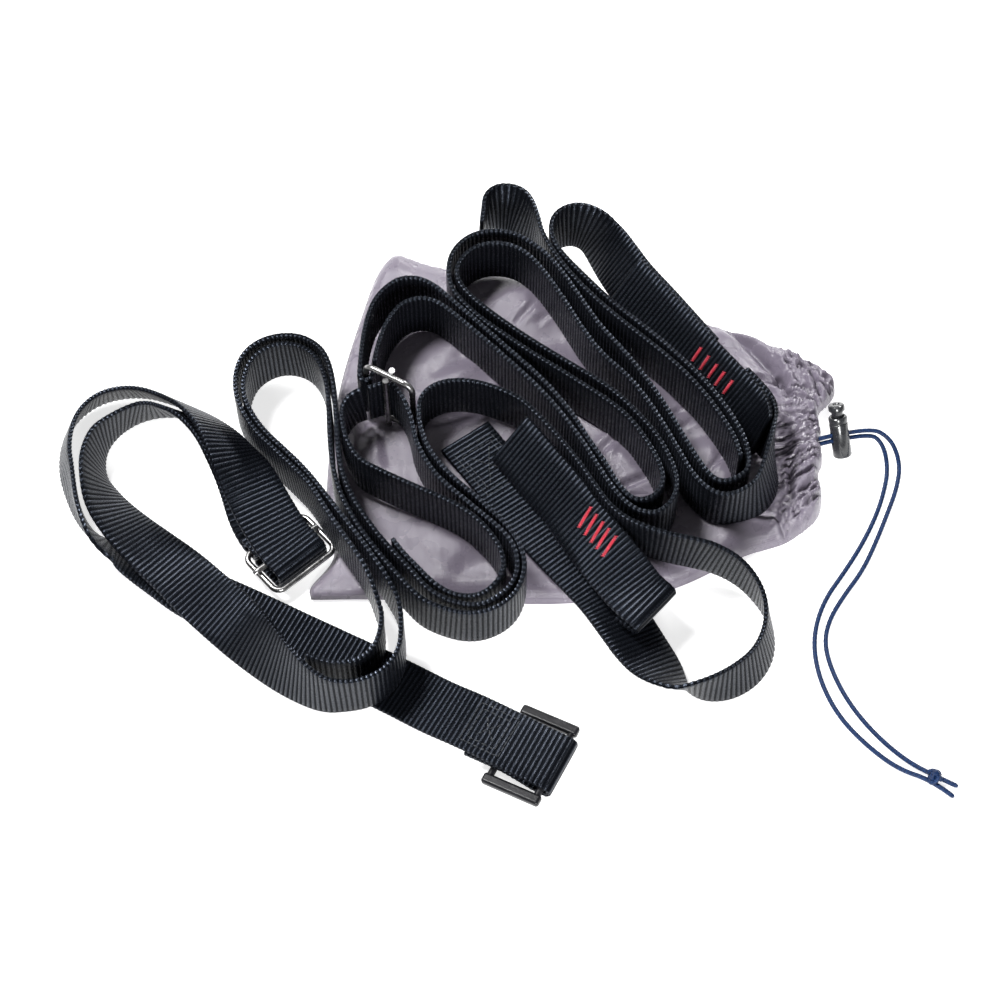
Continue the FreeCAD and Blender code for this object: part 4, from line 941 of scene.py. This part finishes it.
def cloth_height(x, y):
    height = flat_height(x, y)
    for px, py, radius, tall in PUFFS:
        height += tall * np.exp(-((x - px) ** 2 + (y - py) ** 2) / radius ** 2)
    for ax, ay, bx, by, wide, deep in CREASES:
        height -= crease_depth(x, y, (ax, ay), (bx, by), wide, deep)
    ripple = np.array([noise.fractal(Vector((a * 26, b * 26, 3.0)), 0.9, 2.2, 4) for a, b in zip(x, y)])
    return height + ripple * 0.9 * MM + gathers(x, y)


def outline_distance(x, y, outline):
    """Distance from each point to the outline."""
    starts, ends = outline, np.roll(outline, -1, axis=0)
    nearest = np.full(len(x), 1.0)
    for p, q in zip(starts, ends):
        run = q - p
        t = np.clip(((x - p[0]) * run[0] + (y - p[1]) * run[1]) / max(run @ run, 1e-12), 0, 1)
        nearest = np.minimum(nearest, np.hypot(x - p[0] - t * run[0], y - p[1] - t * run[1]))
    return nearest


def cloth_plan(outline):
    """Triangles that fill the outline, finer at the gathers: (points, faces)."""
    low, high = outline.min(axis=0), outline.max(axis=0)
    inner = []
    for cell, left, right in ((CLOTH_CELL, low[0], GATHER_FROM), (GATHER_CELL, GATHER_FROM, high[0])):
        rows = int((high[1] - low[1]) / (cell * ROW_STEP))
        for j in range(rows):
            y = low[1] + j * cell * ROW_STEP
            start = left + (0.5 * cell if j % 2 else 0)
            inner += [(x, y) for x in np.arange(start, right, cell)]
    inner = np.array(inner)
    gap = np.where(inner[:, 0] < GATHER_FROM, CLOTH_CELL, GATHER_CELL) * 0.6
    inner = inner[outline_distance(inner[:, 0], inner[:, 1], outline) > gap]
    points = [Vector(p) for p in outline] + [Vector(p) for p in inner]
    border = [(i, (i + 1) % len(outline)) for i in range(len(outline))]
    found = delaunay_2d_cdt(points, border, [], 1, 1e-7)
    return np.array([tuple(p) for p in found[0]]), [tuple(f) for f in found[2]]


def press_under(points, height, faces, pressing):
    """Lowers the cloth under whatever lies on it, with slopes that cloth can take."""
    limit = np.full(len(points), 1.0)
    for tree in pressing:
        for i, (x, y) in enumerate(points):
            hit = tree.ray_cast(Vector((x, y, -1 * MM)), Vector((0, 0, 1)))[0]
            if hit is not None:
                limit[i] = min(limit[i], hit.z - STRAP_CLEARANCE)
    pairs = {tuple(sorted(pair)) for a, b, c in faces for pair in ((a, b), (b, c), (c, a))}
    edges = np.array(sorted(pairs))
    rise = np.linalg.norm(points[edges[:, 0]] - points[edges[:, 1]], axis=1) * PRESS_SLOPE
    for _ in range(PRESS_ROUNDS):
        np.minimum.at(limit, edges[:, 0], limit[edges[:, 1]] + rise)
        np.minimum.at(limit, edges[:, 1], limit[edges[:, 0]] + rise)
    return np.minimum(height, limit)


def tree_of(obj, moved=Vector((0, 0, 0))):
    mesh = obj.data
    return BVHTree.FromPolygons([v.co + moved for v in mesh.vertices],
                                [tuple(p.vertices) for p in mesh.polygons])


def sack_outline():
    outline = smooth_line([(x, y, 0) for x, y in SACK_OUTLINE], closed=True)[:, :2]
    steps = np.linalg.norm(np.diff(outline, axis=0), axis=1)
    outline = outline[np.concatenate(([True], steps > OUTLINE_STEP))]
    closes = np.linalg.norm(outline[0] - outline[-1]) < OUTLINE_STEP
    return outline[:-1] if closes else outline


def closed_skin(x, y, height, under, edge, faces):
    """The cloth's upper face joined along its edge to the face below: (points, faces)."""
    points = list(zip(x, y, height))
    below = list(range(len(points)))
    for i in np.flatnonzero(~edge):
        below[i] = len(points)
        points.append((x[i], y[i], under[i]))
    return points, faces + [tuple(below[i] for i in reversed(face)) for face in faces]


def make_sack(straps, names):
    outline = sack_outline()
    points, faces = cloth_plan(outline)
    x, y = points[:, 0], points[:, 1]
    inward = np.clip(outline_distance(x, y, outline) / RIM_ROUND, 0, 1)
    mouth = np.clip((x - MOUTH_START) / (MOUTH_FULL - MOUTH_START), 0, 1)
    inward = np.clip(inward * (1 + 2.2 * mouth), 0, 1)
    rim = RIM_TALL + mouth * 3.2 * MM
    round_off = np.sqrt(1 - (1 - inward) ** 2)
    height = rim + (cloth_height(x, y) - rim) * round_off
    pressing = [tree_of(strap.obj) for strap in straps.values()]
    pressing += [tree_of(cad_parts[name]) for name in names]
    pressing += [tree_of(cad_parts["middle_buckle_bar"], moved) for moved in MIDDLE_BAR_TRAVEL]
    height = np.maximum(press_under(points, height, faces, pressing), CLOTH_THIN)
    edge = inward <= 1e-6
    under = np.where(edge, height, np.minimum(height * 0.3, FLOOR + 0.1 * MM
                                              + mouth * 1.5 * MM * (1 - inward)))
    skin, all_faces = closed_skin(x, y, height, under, edge, faces)
    sack = make_mesh("sack_cloth", skin, all_faces, sack_nylon())
    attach(sack, "strap_set")
    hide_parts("sack")
    return sack


def seam_stitches(name, sack, line, look):
    """A sewn seam over the cloth: stitches dropped onto the surface along a smooth line."""
    tree = tree_of(sack)
    places = smooth_line([(x, y, 0) for x, y in line])
    along = distances(places)
    count = int(along[-1] / CASING_PITCH)
    spots = resample(places, along, (np.arange(count) + 0.5) / count * along[-1])
    placed = []
    for p, q in zip(spots, np.roll(spots, -1, axis=0)):
        hit, normal = tree.ray_cast(Vector((p[0], p[1], 0.05)), Vector((0, 0, -1)))[:2]
        if hit is None:
            continue
        travel = Vector(q - p) if np.linalg.norm(q - p) < 5 * MM else travel
        travel = (travel - normal * travel.dot(normal)).normalized()
        axes = Matrix((travel, normal.cross(travel), normal)).transposed().to_4x4()
        placed.append((Matrix.Translation(hit) @ axes, *CASING_STITCH))
    stitches(name, placed, look)


# ---------------- the whole scene
METAL_NODES = {
    "left_buckle_frame": "wire", "left_buckle_bar": "wire",
    "middle_buckle_frame": "wire", "middle_buckle_bar": "wire", "front_buckle": "black_metal",
}


def finish_metal():
    looks = {"wire": wire_steel(), "black_metal": black_enamel()}
    for node, slot in METAL_NODES.items():
        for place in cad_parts[node].material_slots:
            place.material = looks[slot]


make_camera()
make_studio()
finish_metal()
straps = make_straps()
make_stitching(straps)
sack = make_sack(straps, METAL_NODES)
seam_stitches("casing_seam", sack, CASING_SEAM,
              sewing_thread("grey_thread", (0.12, 0.11, 0.13), (0.24, 0.22, 0.25)))
make_drawcord()
make_lock()
